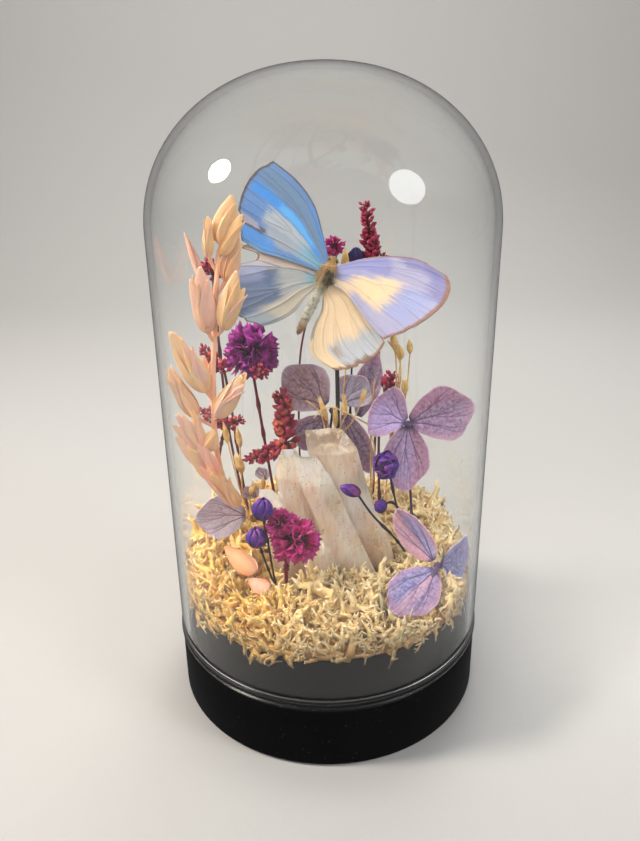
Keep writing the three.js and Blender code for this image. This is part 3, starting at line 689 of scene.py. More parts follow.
# Each field: out from, out to, across from, across to, softness, colour, strength.
WING_FIELDS = {
    "forewing_left": (PERIWINKLE, UMBER, 0.035, [
        (0.0, 0.9, 0.13, 0.33, 0.05, SLATE, 0.85),
        (0.0, 0.5, 0.04, 0.12, 0.04, AZURE, 0.9),
        (0.3, 0.8, 0.04, 0.12, 0.05, SLATE, 0.4),
        (0.22, 0.74, 0.47, 0.66, 0.05, srgb(186, 192, 196), 0.92),
        (0.1, 0.72, 0.66, 0.86, 0.06, STONE, 0.72),
        (0.0, 0.3, 0.5, 0.86, 0.1, TURQUOISE, 0.62),
        (0.1, 0.93, 0.335, 0.45, 0.03, AZURE, 1.0),
        (0.2, 0.66, 0.35, 0.44, 0.03, srgb(84, 176, 240), 0.9),
        (0.6, 0.97, 0.78, 0.95, 0.05, AZURE, 0.75),
        (0.8, 1.02, 0.7, 0.775, 0.03, srgb(166, 160, 178), 0.95),
        (0.74, 1.0, 0.768, 0.795, 0.02, UMBER, 0.85),
        (0.72, 0.8, 0.72, 0.77, 0.02, UMBER, 0.9),
        (0.0, 0.9, 0.93, 1.02, 0.03, SKY, 0.5),
        (0.84, 1.02, 0.0, 0.3, 0.06, SLATE, 0.5),
    ]),
    "forewing_right": (LILAC, AMBER, 0.05, [
        (0.02, 0.5, 0.04, 0.4, 0.07, srgb(112, 120, 196), 0.6),
        (0.02, 0.3, 0.42, 0.7, 0.06, srgb(126, 132, 196), 0.5),
        (0.22, 0.64, 0.52, 0.84, 0.09, BUTTER, 1.0),
        (0.42, 0.66, 0.42, 0.56, 0.08, BUTTER, 0.9),
        (0.0, 0.3, 0.78, 1.02, 0.08, BUTTER, 0.9),
        (0.66, 0.92, 0.45, 0.78, 0.07, srgb(150, 158, 210), 0.75),
        (0.84, 1.0, 0.02, 0.46, 0.06, INDIGO, 0.6),
        (0.62, 0.9, 0.02, 0.2, 0.04, INDIGO, 0.55),
        (0.3, 0.95, -0.02, 0.02, 0.02, TAN, 0.7),
    ]),
    "hindwing_left": (STONE, UMBER, 0.03, [
        (0.0, 1.02, -0.02, 0.08, 0.03, TAN, 0.85),
        (0.05, 1.02, 0.09, 0.25, 0.03, srgb(208, 186, 176), 0.9),
        (0.45, 1.02, 0.3, 0.76, 0.1, STEEL, 0.95),
        (0.62, 1.02, 0.22, 0.4, 0.06, srgb(176, 184, 226), 0.5),
        (0.1, 0.8, 0.7, 0.98, 0.08, CREAM, 0.85),
        (0.0, 0.16, 0.2, 0.6, 0.05, TURQUOISE, 0.75),
        (0.7, 1.02, 0.72, 0.98, 0.06, SLATE, 0.5),
    ]),
    "hindwing_right": (BUTTER, AMBER, 0.055, [
        (0.68, 0.97, 0.02, 0.72, 0.07, ICE, 0.95),
        (0.3, 0.75, 0.0, 0.16, 0.05, CREAM, 0.4),
        (0.72, 0.84, 0.58, 0.68, 0.03, TAN, 0.7),
        (0.12, 0.62, 0.93, 1.02, 0.02, TAUPE, 0.9),
        (0.93, 1.02, 0.34, 0.7, 0.03, UMBER, 0.7),
    ]),
}


def nearest_vein(out, across, veins, power, reach):
    """How far away the nearest vein is. Reach is the width that a step of 1 across stands for."""
    nearest = None
    for start, branch, end in veins:
        way = ((out - start) * (1 / (1 - start))).most(0.0).least(1.0) ** power
        gap = abs(across - (way * (end - branch) + branch)) * reach
        gap = gap if start == 0 else gap + (start - out).rise(0.0, 0.02) * 5
        nearest = gap if nearest is None else nearest.least(gap)
    return nearest


def wing_finish(name):
    ground, border, border_width, fields = WING_FIELDS[name]
    wing = Finish(f"{name}_scales")
    out, across = wing.value("out"), wing.value("across")
    offset = float(sum(map(ord, name)) % 17)
    fray = wing.cloud(1.0, 4, wing.xyz(out * 2.2, across * 34, offset))
    blotch = wing.cloud(2.4, 3)
    s = out + (fray - 0.5) * 0.22 + (blotch - 0.5) * 0.12
    t = across + (blotch - 0.5) * 0.05 + (fray - 0.5) * 0.02
    colour = wing.mix(fray.rise(0.35, 0.68) * 0.5, ground, wing.mix(0.25, ground, SLATE))
    for low, high, left, right, soft, shade, strength in fields:
        box = s.rise(low - soft, low + soft) * s.rise(high + soft, high - soft)
        box = box * t.rise(left - soft / 2, left + soft / 2) * t.rise(right + soft / 2, right - soft / 2)
        colour = wing.mix(box * (fray * 0.5 + 0.75).least(1.0) * strength, colour, shade)
    line = nearest_vein(out, across, WING_VEINS, WING_VEIN_POWER, wing.value("width") + 1.0)
    line = line.rise(0.2, 0.04) * (0.5 if name.endswith("right") else 1.0)
    colour = wing.mix(line * (fray * 1.3 - 0.25).most(0.1), colour, srgb(66, 52, 54))
    hatch = wing.cloud(1.0, 5, wing.xyz(out * 5, across * 120, offset))
    colour = wing.mix(hatch.rise(0.56, 0.72) * 0.35, colour, srgb(60, 62, 96))
    edge = (out + (blotch - 0.5) * 0.03).rise(1 - border_width * 1.25, 1 - border_width * 0.6)
    side = (across + (blotch - 0.5) * 0.02).rise(0.04, 0.015) * out.rise(0.05, 0.3)
    rim = edge.most(side * 0.85)
    colour = wing.mix(rim * 0.92, colour, wing.mix(fray, border, wing.mix(0.5, border, UMBER)))
    worn = wing.cells(0.9).rise(0.16, 0.05) * wing.cloud(5, 2).rise(0.45, 0.6)
    colour = wing.mix(worn * 0.5, colour, srgb(74, 70, 84))
    dust = wing.cloud(0.16, 2)
    colour = wing.mix((dust - 0.5).rise(-0.2, 0.25) * 0.16, colour, srgb(236, 236, 240))
    under = wing.mix(blotch, srgb(176, 160, 138), srgb(206, 196, 178))
    under = wing.mix(line * 0.6, under, srgb(112, 92, 74))
    under = wing.mix(rim * 0.8, under, srgb(132, 96, 62))
    colour = wing.mix(wing.value("upper").rise(0.3, 0.7), under, colour)
    relief = dust * 0.4 + fray * 0.5 + line * 0.8
    return wing.shade(Base_Color=colour, Roughness=fray * 0.2 + 0.42, Normal=wing.bump(relief, 0.05),
                      Sheen_Weight=0.12, Sheen_Roughness=0.4)


for wing_name in WINGS:
    wing_obj = wing_mesh(wing_name).make(f"{wing_name}_membrane", wing_finish(wing_name))
    settle(wing_obj, "butterfly_wing", wing_name)

# %% [markdown]
# ## Hydrangea florets
# Dried hydrangea petals are thin and papery. Three to five grow from a dark eye, and each has a
# fan of dark veins that fork, a fine net between them and a paler rim. A petal is a grid that
# narrows to its foot, cupped, bowed and rippled, and closed as a thin sheet.

# %% Petal shapes
PETAL_THICKNESS = 0.22
FRONT = (0, -1, 0.2)
MAUVE, LILAC_MAUVE, ROSEWOOD = srgb(148, 108, 152), srgb(166, 138, 188), srgb(158, 98, 122)
BLUISH, BLUE_GREY, PINK_LILAC = srgb(164, 160, 216), srgb(88, 94, 164), srgb(126, 90, 142)
DEEP_PERIWINKLE, BRIGHT_LILAC = srgb(104, 104, 168), srgb(184, 156, 218)
PLUM, BROWNED = srgb(124, 88, 128), srgb(156, 122, 120)
DUSKY, PALE, ROSE = srgb(128, 108, 128), srgb(196, 182, 200), srgb(190, 142, 172)
SALMON, SILVER = srgb(222, 154, 162), srgb(178, 176, 198)
PETALS = {
    "right_floret_petal_left": dict(
        foot=(25.2, 1.4, 92.2), tip=(14.6, 2, 98.3), facing=(0, -1, 0.3), width=17, widest=0.78, end=0.8,
        body=BRIGHT_LILAC, flushes=[(MAUVE, 0.3, 1.5)]),
    "right_floret_petal_right": dict(
        foot=(26.8, 1.2, 92.4), tip=(46.4, -3.5, 100.0), facing=(0, -1, 0.3), width=17, widest=0.62,
        body=PLUM, flushes=[(ROSEWOOD, -1.5, -0.4), (MAUVE, 0.0, 0.7)]),
    "right_floret_petal_low": dict(
        foot=(25.9, 1.2, 91.0), tip=(25.2, -1, 68.6), width=15.4, widest=0.56,
        body=LILAC_MAUVE, flushes=[(ROSEWOOD, -1.5, -0.35), (MAUVE, 0.3, 1.5)]),
    "low_floret_petal_left": dict(
        foot=(33.0, -17, 52.8), tip=(21.6, -13, 69.5), facing=(-0.3, -1, 0.4), width=8.8, fold=3,
        widest=0.4, end=0.85, body=BLUISH, rim=SALMON, flushes=[(SALMON, -1.5, -0.1)]),
    "low_floret_petal_right": dict(
        foot=(35.7, -17, 51.5), tip=(46.0, -9, 46.5), facing=(0.5, -0.85, 0.15), width=18.5, widest=0.9,
        end=0.95, body=BLUE_GREY, rim=BLUISH),
    "low_floret_petal_front": dict(
        foot=(33.3, -19.5, 50.8), tip=(18.4, -36, 47.8), facing=(0.15, -0.45, 0.95), width=15, fold=-1.8,
        cup=-0.4, bow=-0.6, body=DEEP_PERIWINKLE,
        flushes=[(PINK_LILAC, -1.5, -0.15), (SALMON, -0.2, 0.0)]),
    "back_floret_petal_left": dict(
        foot=(0, 16.6, 91.8), tip=(-13, 17.5, 105), width=17, body=BROWNED, rim=PALE),
    "back_floret_petal_right": dict(
        foot=(6, 17, 92.4), tip=(13.4, 15.5, 102), width=13, body=SILVER, rim=PALE),
    "back_floret_petal_far": dict(
        foot=(11.5, 20.5, 86), tip=(17.5, 20, 109), facing=(-0.3, -1, 0.2), width=9, body=DUSKY),
    "back_floret_petal_low": dict(
        foot=(-0.4, 16.4, 87.6), tip=(-8.6, 14.5, 77), width=13, body=DUSKY),
    "back_floret_petal_under": dict(
        foot=(6.5, 17, 88.5), tip=(15, 13.5, 68), width=9, body=DUSKY),
    "loose_petal_left": dict(
        foot=(-27, 1, 59.5), tip=(-43, -3.5, 61.5), facing=(-0.1, -1, 0.2), width=15, body=PALE,
        rim=SILVER),
}


def petal_width(s, widest, end):
    """The share of the full width at a share of the length: a narrow foot, the widest part, an end."""
    opening = np.sin(np.pi / 2 * (0.07 + 0.93 * np.minimum(s / widest, 1))) ** 0.72
    closing = 1 - (1 - end) * np.clip((s - widest) / (1 - widest), 0, 1) ** 2
    return opening * closing


def flushed(body, flushes, t):
    """The petal's colour across it: its own, and each flush over its part of the width."""
    colour = np.broadcast_to(np.array(body), (*t.shape, 3))
    for flush, left, right in flushes:
        part = np.clip((t - left) / 0.35 + 0.5, 0, 1) * np.clip((right - t) / 0.35 + 0.5, 0, 1)
        colour = colour + (np.array(flush) - colour) * part[..., None] * 0.9
    return colour


def petal_mesh(foot, tip, width, body, facing=FRONT, rim=ROSE, cup=1.5, bow=1.0, fold=0.0, widest=0.55,
               end=0.62, flushes=(), rows=40, columns=37):
    foot, tip = np.array(foot, float), np.array(tip, float)
    along = tip - foot
    across = unit(np.cross(along, facing))
    up = unit(np.cross(across, along))
    s, share = grid_of(rows, columns)
    t = 2 * share - 1
    phase = float(abs(foot[0]) + abs(tip[2]))
    ripple = 0.02 * np.sin(9 * s + phase) + 0.012 * np.sin(21 * s + 2 * phase)
    half = width / 2 * petal_width(s, widest, end) * (1.03 + ripple)
    pull = 0.22 * t**2 * s**2.6
    rise = (cup * t**2 - bow) * np.sin(np.pi * s) + fold * np.abs(t) * s
    rise += 0.42 * np.sin(7 * s + 3 * t + phase) * np.abs(t) ** 3 * s
    rise += 0.12 * np.sin(15 * s + 5 * t + 2 * phase) * s
    nearest = np.min([petal_vein_gap(s, t, vein) for vein in PETAL_VEINS], axis=0) * half
    rise -= 0.16 * np.exp(-(nearest / 0.45) ** 2) * np.clip(6 * s, 0, 1)
    grid = (foot + along * (s - pull)[..., None] + across * (half * t)[..., None]
            + up * rise[..., None])
    points, faces, _ = sheet(grid, PETAL_THICKNESS)
    colours = np.tile(flushed(body, flushes, t).reshape(-1, 3), (2, 1))
    return Piece().add(points, faces, out=twice(s), across=twice(t), half=twice(half), body=colours,
                       rim=np.array(rim))


# A petal's vein starts at a share of the way out, at one place across, and ends at another.
PETAL_VEINS = [
    (0.0, 0.0, 0.04), (0.34, 0.01, 0.4), (0.4, 0.02, -0.34), (0.55, 0.18, 0.16), (0.6, -0.14, -0.1),
    (0.0, 0.12, 0.78), (0.2, 0.26, 1.0), (0.0, -0.12, -0.72), (0.26, -0.3, -0.98),
]


def petal_vein_gap(s, t, vein):
    return np.abs(t - vein_place(vein, s, PETAL_VEIN_POWER)) + 3.0 * (s < vein[0])

print("petals:", len(PETALS), "veins in each:", len(PETAL_VEINS))

# %% [markdown]
# One finish serves all the petals. The colours of the body and of the rim come from the mesh,
# so a petal can be mauve, bluish or dusky. The veins are the same fan that shaped the mesh.

# %% Petal finish
def petal_finish():
    petal = Finish("dried_hydrangea_petal")
    out, across, half = petal.value("out"), petal.value("across"), petal.value("half")
    warp = petal.cloud(3.0, 3)
    t = across + (warp - 0.5) * 0.09
    nearest = nearest_vein(out, t, PETAL_VEINS, PETAL_VEIN_POWER, half)
    strong = out.rise(0.95, 0.1)
    main = nearest.rise(0.34, 0.06) * (strong * 0.6 + 0.35)
    net = petal.cells(1.9, "DISTANCE_TO_EDGE").rise(0.07, 0.0)
    fine = petal.cells(0.8, "DISTANCE_TO_EDGE").rise(0.09, 0.0)
    tissue = petal.cloud(1.1, 4)
    body = petal.mix(tissue.rise(0.3, 0.7) * 0.4, petal.colour("body"), srgb(224, 214, 232))
    edge = abs(across).rise(0.55, 1.02).most(out.rise(0.74, 1.0))
    body = petal.mix(edge * 0.75, body, petal.colour("rim"))
    # A thin pale line at the very edge: partly the petal's paler margin, partly a painted highlight.
    lip = abs(across).rise(0.94, 0.98).most(out.rise(0.965, 0.985))
    body = petal.mix(lip * 0.7, body, srgb(228, 204, 216))
    ink = (main * 0.85).most(net * 0.36).most(fine * 0.16)
    body = petal.mix(ink, body, srgb(66, 40, 96))
    body = petal.mix(out.rise(0.12, 0.0) * 0.8, body, srgb(52, 34, 84))
    blot = petal.cloud(4.5, 2).rise(0.6, 0.75)
    body = petal.mix(blot * 0.25, body, srgb(150, 116, 128))
    relief = main * -0.9 - net * 0.4 - fine * 0.2 + tissue * 0.4
    return petal.shade(Base_Color=body, Roughness=tissue * 0.2 + 0.5, Normal=petal.bump(relief, 0.12),
                       Subsurface_Weight=0.2, Subsurface_Radius=(0.9, 0.5, 0.8),
                       Subsurface_Scale=0.0012, Sheen_Weight=0.1)


PETAL_FINISH = petal_finish()
for petal_name, petal_shape in PETALS.items():
    petal_obj = petal_mesh(**petal_shape).make(f"{petal_name}_blade", PETAL_FINISH)
    settle(petal_obj, "hydrangea_petal", petal_name)

# %% [markdown]
# ## Growing small things with Geometry Nodes
# Moss, ruffled blooms, spikes of buds and fur are all one small shape repeated many times over
# some ground. One node tree grows them all. The ground's own values say where it grows (grows),
# how large each copy is (size) and which way it bends from upright (comb). Instances stay cheap
# while they are placed; at the end they are made real, because only a mesh can be handed on.

# %% Growing tree
GROWING_INPUTS = {
    "Geometry": "Geometry",
    "Shapes": "Collection",
    "Density": "Float",
    "Apart": "Float",
    "Smallest": "Float",
    "Largest": "Float",
    "Lean": "Float",
    "Seed": "Int",
    "Finish": "Material",
}


def soil(grows, size=1.0, comb=(0, 0, 0)):
    """The values that the ground's points carry for the growing tree."""
    return {"grows": grows, "size": size, "comb": np.asarray(comb, float), "tip": 0.0}


def scattered_points(tree, given):
    """Points over the ground, and the rotation that stands a copy on each, combed its way."""
    grows = tree.node("GeometryNodeInputNamedAttribute", None, {"Name": "grows"})
    comb = tree.node("GeometryNodeInputNamedAttribute", {"data_type": "FLOAT_VECTOR"}, {"Name": "comb"})
    points = tree.node("GeometryNodeDistributePointsOnFaces", {"distribute_method": "POISSON"}, {
        "Mesh": given["Geometry"], "Distance Min": given["Apart"], "Density Max": given["Density"],
        "Density Factor": grows, "Seed": given["Seed"]})
    normal = Socket(tree, points.output.node.outputs["Normal"])
    upright = tree.node("FunctionNodeAlignRotationToVector", {"axis": "Z"},
                        {"Vector": tree.vector("ADD", normal, comb)})
    return points, upright


def random_turn(tree, upright, lean, seed):
    """The rotation, leant by up to lean either way and spun by any angle."""
    most = tree.xyz(lean, lean, math.pi)
    least = tree.xyz(lean * -1, lean * -1, -math.pi)
    angles = tree.node("FunctionNodeRandomValue", {"data_type": "FLOAT_VECTOR"},
                       {0: least, 1: most, "Seed": seed})
    return tree.node("FunctionNodeRotateRotation", {"rotation_space": "LOCAL"}, {0: upright, 1: angles})


def growing_tree():
    group = bpy.data.node_groups.new("grow_over_ground", "GeometryNodeTree")
    for label, kind in GROWING_INPUTS.items():
        group.interface.new_socket(label, in_out="INPUT", socket_type=f"NodeSocket{kind}")
    group.interface.new_socket("Geometry", in_out="OUTPUT", socket_type="NodeSocketGeometry")
    tree = Tree(group)
    entry = group.nodes.new("NodeGroupInput")
    given = {label: Socket(tree, entry.outputs[label]) for label in GROWING_INPUTS}
    seed = given["Seed"]
    points, upright = scattered_points(tree, given)
    size = tree.node("GeometryNodeInputNamedAttribute", None, {"Name": "size"})
    own = tree.node("FunctionNodeRandomValue", None,
                    {2: given["Smallest"], 3: given["Largest"], "Seed": seed + 2}, output=1)
    shapes = tree.node("GeometryNodeCollectionInfo", None, {
        "Collection": given["Shapes"], "Separate Children": True, "Reset Children": True})
    copies = tree.node("GeometryNodeInstanceOnPoints", None, {
        "Points": points, "Instance": shapes, "Pick Instance": True,
        "Rotation": random_turn(tree, upright, given["Lean"], seed + 1), "Scale": own * size})
    shade = tree.node("FunctionNodeRandomValue", None, {"Seed": seed + 3}, output=1)
    marked = tree.node("GeometryNodeStoreNamedAttribute", {"domain": "INSTANCE"},
                       {"Geometry": copies, "Name": "shade", "Value": shade})
    real = tree.node("GeometryNodeRealizeInstances", None, {"Geometry": marked})
    whole = tree.node("GeometryNodeJoinGeometry", None, {"Geometry": real})
    tree.set(whole.output.node.inputs["Geometry"], given["Geometry"])
    painted = tree.node("GeometryNodeSetMaterial", None, {"Geometry": whole, "Material": given["Finish"]})
    out = group.nodes.new("NodeGroupOutput")
    tree.set(out.inputs["Geometry"], painted)
    print("growing tree nodes:", len(group.nodes))
    return group


GROWING_TREE = growing_tree()


def shape_collection(name, shapes):
    """A collection of source shapes, out of sight, for the tree to pick from."""
    collection = bpy.data.collections.new(name)
    for index, piece in enumerate(shapes):
        source = piece.make(f"{name}_{index}", None)
        bpy.context.scene.collection.objects.unlink(source)
        collection.objects.link(source)
    return collection


def grown(name, ground, shapes, finish, density, size, lean, seed=SEED, apart=0.0):
    """What grows on the ground piece, as a plain mesh. Density is copies per square millimetre."""
    inputs = {
        "Shapes": shapes, "Finish": finish, "Density": density / MM**2, "Apart": apart * MM,
        "Smallest": size[0], "Largest": size[1], "Lean": lean, "Seed": seed,
    }
    source = ground.make(f"{name}_ground", None)
    modifier = source.modifiers.new("grow", "NODES")
    modifier.node_group = GROWING_TREE
    for item in GROWING_TREE.interface.items_tree:
        if item.in_out == "INPUT" and item.name in inputs:
            modifier[item.identifier] = inputs[item.name]
    evaluated = source.evaluated_get(bpy.context.evaluated_depsgraph_get())
    mesh = bpy.data.meshes.new_from_object(evaluated)
    source.modifiers.remove(modifier)
    bpy.data.objects.remove(source)
    obj = bpy.data.objects.new(name, mesh)
    bpy.context.scene.collection.objects.link(obj)
    mesh.shade_smooth()
    return obj

# %% [markdown]
# ## The moss
# Bleached reindeer moss is a tangle of smooth antlers, 1 to 4 mm thick at the foot, that fork
# down to fine points. A few forked sprigs are enough: thousands of copies, each turned its own
# way, over a lumpy cushion. Particles would do it too, but they can't be handed on as a mesh.

# %% Moss sprigs
def fork(piece, start, direction, length, radius, level, age, last_level=2):
    """One branch and the finer ones that grow from it."""
    bend = unit([dice.gauss(0, 1) for _ in range(3)])
    middle = start + direction * length * 0.5 + bend * length * 0.14
    end = start + unit(direction + bend * 0.5) * length
    thin = 0.25 if level == last_level else 0.75
    points, faces, share = tube([start, middle, end], [radius, radius * 0.82, radius * thin],
                                steps=1 if level == last_level else 2, sides=4 if level == 0 else 3)
    piece.add(points, faces, tip=age + share / (last_level + 1))
    if level == last_level:
        return
    side = unit(np.cross(direction, [dice.gauss(0, 1) for _ in range(3)]))
    for way in (1, -1):
        spread = dice.uniform(0.4, 1.1) * way
        turn = unit(direction + side * spread + np.array([dice.gauss(0, 0.2) for _ in range(3)]))
        fork(piece, start + (end - start) * dice.uniform(0.82, 0.97), turn,
             length * dice.uniform(0.45, 0.8), radius * 0.7, level + 1, age + 1 / (last_level + 1))


def moss_sprig(length, radius):
    piece = Piece()
    fork(piece, np.zeros(3), np.array((0.0, 0.0, 1.0)), length, radius, 0, 0.0)
    return piece


moss_sprigs = shape_collection("moss_sprig", [moss_sprig(4.0, 1.0) for _ in range(5)]
                               + [moss_sprig(5.2, 1.35) for _ in range(3)] + [moss_sprig(7.5, 1.8)])

# %% [markdown]
# The moss lies in six clumps round the crystals, and each is a lumpy cushion that the sprigs
# grow over. Afterwards the sprigs that reach the glass are bent back inside it, and those under
# a fallen piece are pressed down. A soft-body run could do that too, but would take far longer.
# The colour is cream, turned gold in random patches and by painted warm light towards the left.
# Painted shade darkens it deep in the tangle and low down, and the tips are paler, with a
# painted highlight at the very ends.

# %% Moss cushions
BED_CENTRE, BED_HALF = np.array((2.0, -5.5)), np.array((25.5, 14.0))
MOSS_RADIUS, MOSS_LIMIT = 46.2, 47.5
CLUMPS_APART = 0.4               # degrees
MOSS_CLUMPS = {                  # first and last direction in degrees
    "moss_back_right": (25, 89), "moss_back_left": (89, 154), "moss_left": (154, 205),
    "moss_front_left": (205, 266), "moss_front_right": (266, 333), "moss_right": (333, 385),
}
MOSS_MOUNDS = [                  # centre, radius and height of each hump or hollow
    ((37, 26), 13, 5.0), ((-37, 12), 12, 4.5), ((0, 34), 16, 4.0), ((-30, -18), 9, 1.0),
    ((27, -28), 8, -2.2), ((41, -12), 6, -2.0), ((-23, -22), 6, -1.5), ((-13, -21), 5, -1.0),
]
PRESSED_SPOTS = [                # centre, radius and level where a fallen piece lies on the moss
    ((33, -25), 5, 46), ((30, -31), 5.5, 44.2), ((25, -32), 6, 44.6), ((20, -35), 5, 45.2),
    ((43, -15), 6.5, 41.8), ((26, -25), 5, 47.5),
    ((-23, -26), 5.5, 47.4), ((-28, -16), 5, 49.0),
]


def moss_cushion(first, last, steps=26, rings=16):
    """A lumpy closed cushion between the crystals' bed and the glass, over the plinth's edge."""
    FLOOR, THINNEST = PLINTH_HEIGHT + GAP, 0.6
    turn, u = grid_of(steps, rings)
    angle = np.radians(first + CLUMPS_APART + (last - first - 2 * CLUMPS_APART) * turn)
    ray = np.stack([np.cos(angle), np.sin(angle)], -1)
    inner, outer = BED_CENTRE + BED_HALF * ray, (MOSS_RADIUS - 0.6) * ray
    flat = inner + (outer - inner) * np.minimum(u * 1.12, 1)[..., None]
    top = np.interp(u, [0, 0.2, 0.6, 0.86, 1], [43.2, 45, 45, 42.4, 39.2])
    for centre, radius, height in MOSS_MOUNDS:
        gap = np.linalg.norm(flat - np.array(centre), axis=-1)
        top = top + height * np.exp(-(gap / radius) ** 2) * np.interp(u, [0, 0.8, 1], [1, 1, 0])
    lumps = [[noise.noise((x / 5, y / 5, 3.0)) for x, y in row] for row in flat]
    top = top + np.array(lumps) * 1.6 * np.interp(u, [0, 0.9, 1], [1, 1, 0])
    upper = np.dstack([flat, np.maximum(top, FLOOR + THINNEST)])
    lower = np.dstack([flat, np.full(u.shape, FLOOR)])
    return closed_between(upper, lower)


def closed_between(upper, lower):
    """Points and faces of the solid between two grids with the same edges."""
    points, faces, side = sheet(upper, 0.0)
    points[len(points) // 2:] = lower.reshape(-1, 3)
    return points, faces, side


def keep_under_glass(obj):
    """Bends what reaches the glass back inside it, and lifts what sinks into the plinth."""
    SOFT, CLEAR, SKIRT_END, PRESSED = 1.6, 0.1, LEDGE_HEIGHT + 9, 0.15
    mesh = obj.data
    co = np.empty(len(mesh.vertices) * 3)
    mesh.vertices.foreach_get("co", co)
    co = co.reshape(-1, 3) / MM
    radius = np.hypot(co[:, 0], co[:, 1])
    soft_from = MOSS_LIMIT - SOFT
    past = np.maximum(radius - soft_from, 0)
    inside = soft_from + SOFT * np.tanh(past / SOFT)
    co[:, :2] *= np.where(past > 0, inside / np.maximum(radius, 1e-6), 1)[:, None]
    sunk = (co[:, 2] < PLINTH_HEIGHT + CLEAR) & (radius < PLINTH_RADIUS + 0.25)
    co[sunk, 2] = PLINTH_HEIGHT + CLEAR
    co[:, 2] = np.maximum(co[:, 2], SKIRT_END)
    for centre, reach, level in PRESSED_SPOTS:
        near = np.hypot(co[:, 0] - centre[0], co[:, 1] - centre[1]) < reach
        over = near & (co[:, 2] > level)
        co[over, 2] = level + PRESSED * (co[over, 2] - level)
    mesh.vertices.foreach_set("co", (co * MM).ravel())
    mesh.update()


def moss_finish():
    moss = Finish("bleached_moss")
    tip, shade = moss.value("tip"), moss.value("shade")
    patch, grain = moss.cloud(14, 2), moss.cloud(0.5, 3)
    # Gold share: painted warm light towards the left, by X, plus random patches of the moss's own tone.
    painted_warm_light_and_patches = moss.place("X").rise(0.012, -0.04) * 0.75 + (patch - 0.5) * 0.9
    pale = moss.mix(painted_warm_light_and_patches.rise(0.05, 0.75), srgb(240, 212, 160), srgb(255, 208, 112))
    pale = moss.mix(shade.rise(0.6, 1.0) * 0.5, pale, srgb(226, 184, 126))
    # Painted shade: browner low down, below about 45 mm, where the cushion lies in shadow.
    pale = moss.mix(moss.place("Z").rise(0.0455, 0.041) * 0.4, pale, srgb(186, 128, 66))
    # deep is painted shade: the sprigs' feet, deep in the tangle, are darker and browner than their tips.
    deep = moss.mix(0.5, pale, srgb(164, 104, 40))
    colour = moss.mix(tip.rise(0.0, 0.4), deep, pale)
    # Paler tips, partly the moss's own colour and partly a painted highlight at the very ends.
    colour = moss.mix(tip.rise(0.7, 1.0) * 0.5, colour, srgb(254, 244, 216))
    colour = moss.mix(grain.rise(0.45, 0.75) * 0.22, colour, srgb(196, 160, 104))
    return moss.shade(Base_Color=colour, Roughness=grain * 0.2 + 0.72, Normal=moss.bump(grain, 0.08),
                      Subsurface_Weight=0.18, Subsurface_Radius=(1.0, 0.7, 0.4),
                      Subsurface_Scale=0.0012)


MOSS_FINISH = moss_finish()
for index, (clump, (first, last)) in enumerate(MOSS_CLUMPS.items()):
    points, faces, upper = moss_cushion(first, last)
    hollow = sum(np.exp(-(np.linalg.norm(points[:, :2] - centre, axis=1) / radius) ** 2)
                 for centre, radius, height in MOSS_MOUNDS if height < 0)
    bed = Piece().add(points, faces, **soil(upper, 1 - 0.5 * np.minimum(hollow, 1), (0, 0, 0.4)))
    moss = grown(f"{clump}_tangle", bed, moss_sprigs, MOSS_FINISH, density=0.3, size=(0.6, 1.3),
                 lean=1.0, seed=SEED + index)
    keep_under_glass(moss)
    settle(moss, "moss", clump)

# %% [markdown]
# ## The quartz
# Milky quartz grows as six-sided crystals that lean on each other from one root. The frame has
# the right outline with perfectly flat faces. Remeshing a copy of it joins the faces into one
# even skin, which is then swollen a little, rippled across the crystals and grooved along them.

# %% Crystal skin
def weathering(x, y, z):
    """How far the skin stands out at a place: swells, growth lines and grooves."""
    lean = x + 0.22 * (z - 60)
    swell = 0.4 * noise.noise((lean / 6, y / 6, z / 22))
    growth = 0.06 * noise.noise((lean / 5, y / 5, z / 1.1))
    groove = -0.3 * abs(noise.noise((lean / 2.2, y / 2.2, z / 18 + 4)))
    return swell + growth + groove


def crystal_skin():
    VOXEL = 0.45
    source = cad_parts["quartz_cluster"]
    mesh = source.data.copy()
    work = bmesh.new()
    work.from_mesh(mesh)
    bmesh.ops.remove_doubles(work, verts=work.verts, dist=0.02 * MM)
    work.to_mesh(mesh)
    work.free()
    obj = bpy.data.objects.new("quartz_crystals", mesh)
    bpy.context.scene.collection.objects.link(obj)
    remesh = obj.modifiers.new("skin", "REMESH")
    remesh.mode, remesh.voxel_size = "VOXEL", VOXEL * MM
    soften = obj.modifiers.new("soften", "SMOOTH")
    soften.factor, soften.iterations = 0.5, 1
    skin = bpy.data.meshes.new_from_object(obj.evaluated_get(bpy.context.evaluated_depsgraph_get()))
    obj.modifiers.clear()
    obj.data = skin
    place, normal = np.empty(len(skin.vertices) * 3), np.empty(len(skin.vertices) * 3)
    skin.vertices.foreach_get("co", place)
    skin.vertices.foreach_get("normal", normal)
    place, normal = place.reshape(-1, 3) / MM, normal.reshape(-1, 3)
    place += normal * np.array([weathering(*point) for point in place])[:, None]
    skin.vertices.foreach_set("co", (place * MM).ravel())
    skin.shade_smooth()
    return obj


CLEAR_TIP = (-11.6, -9.5, 87.5)      # the one crystal whose point is bright and glassy


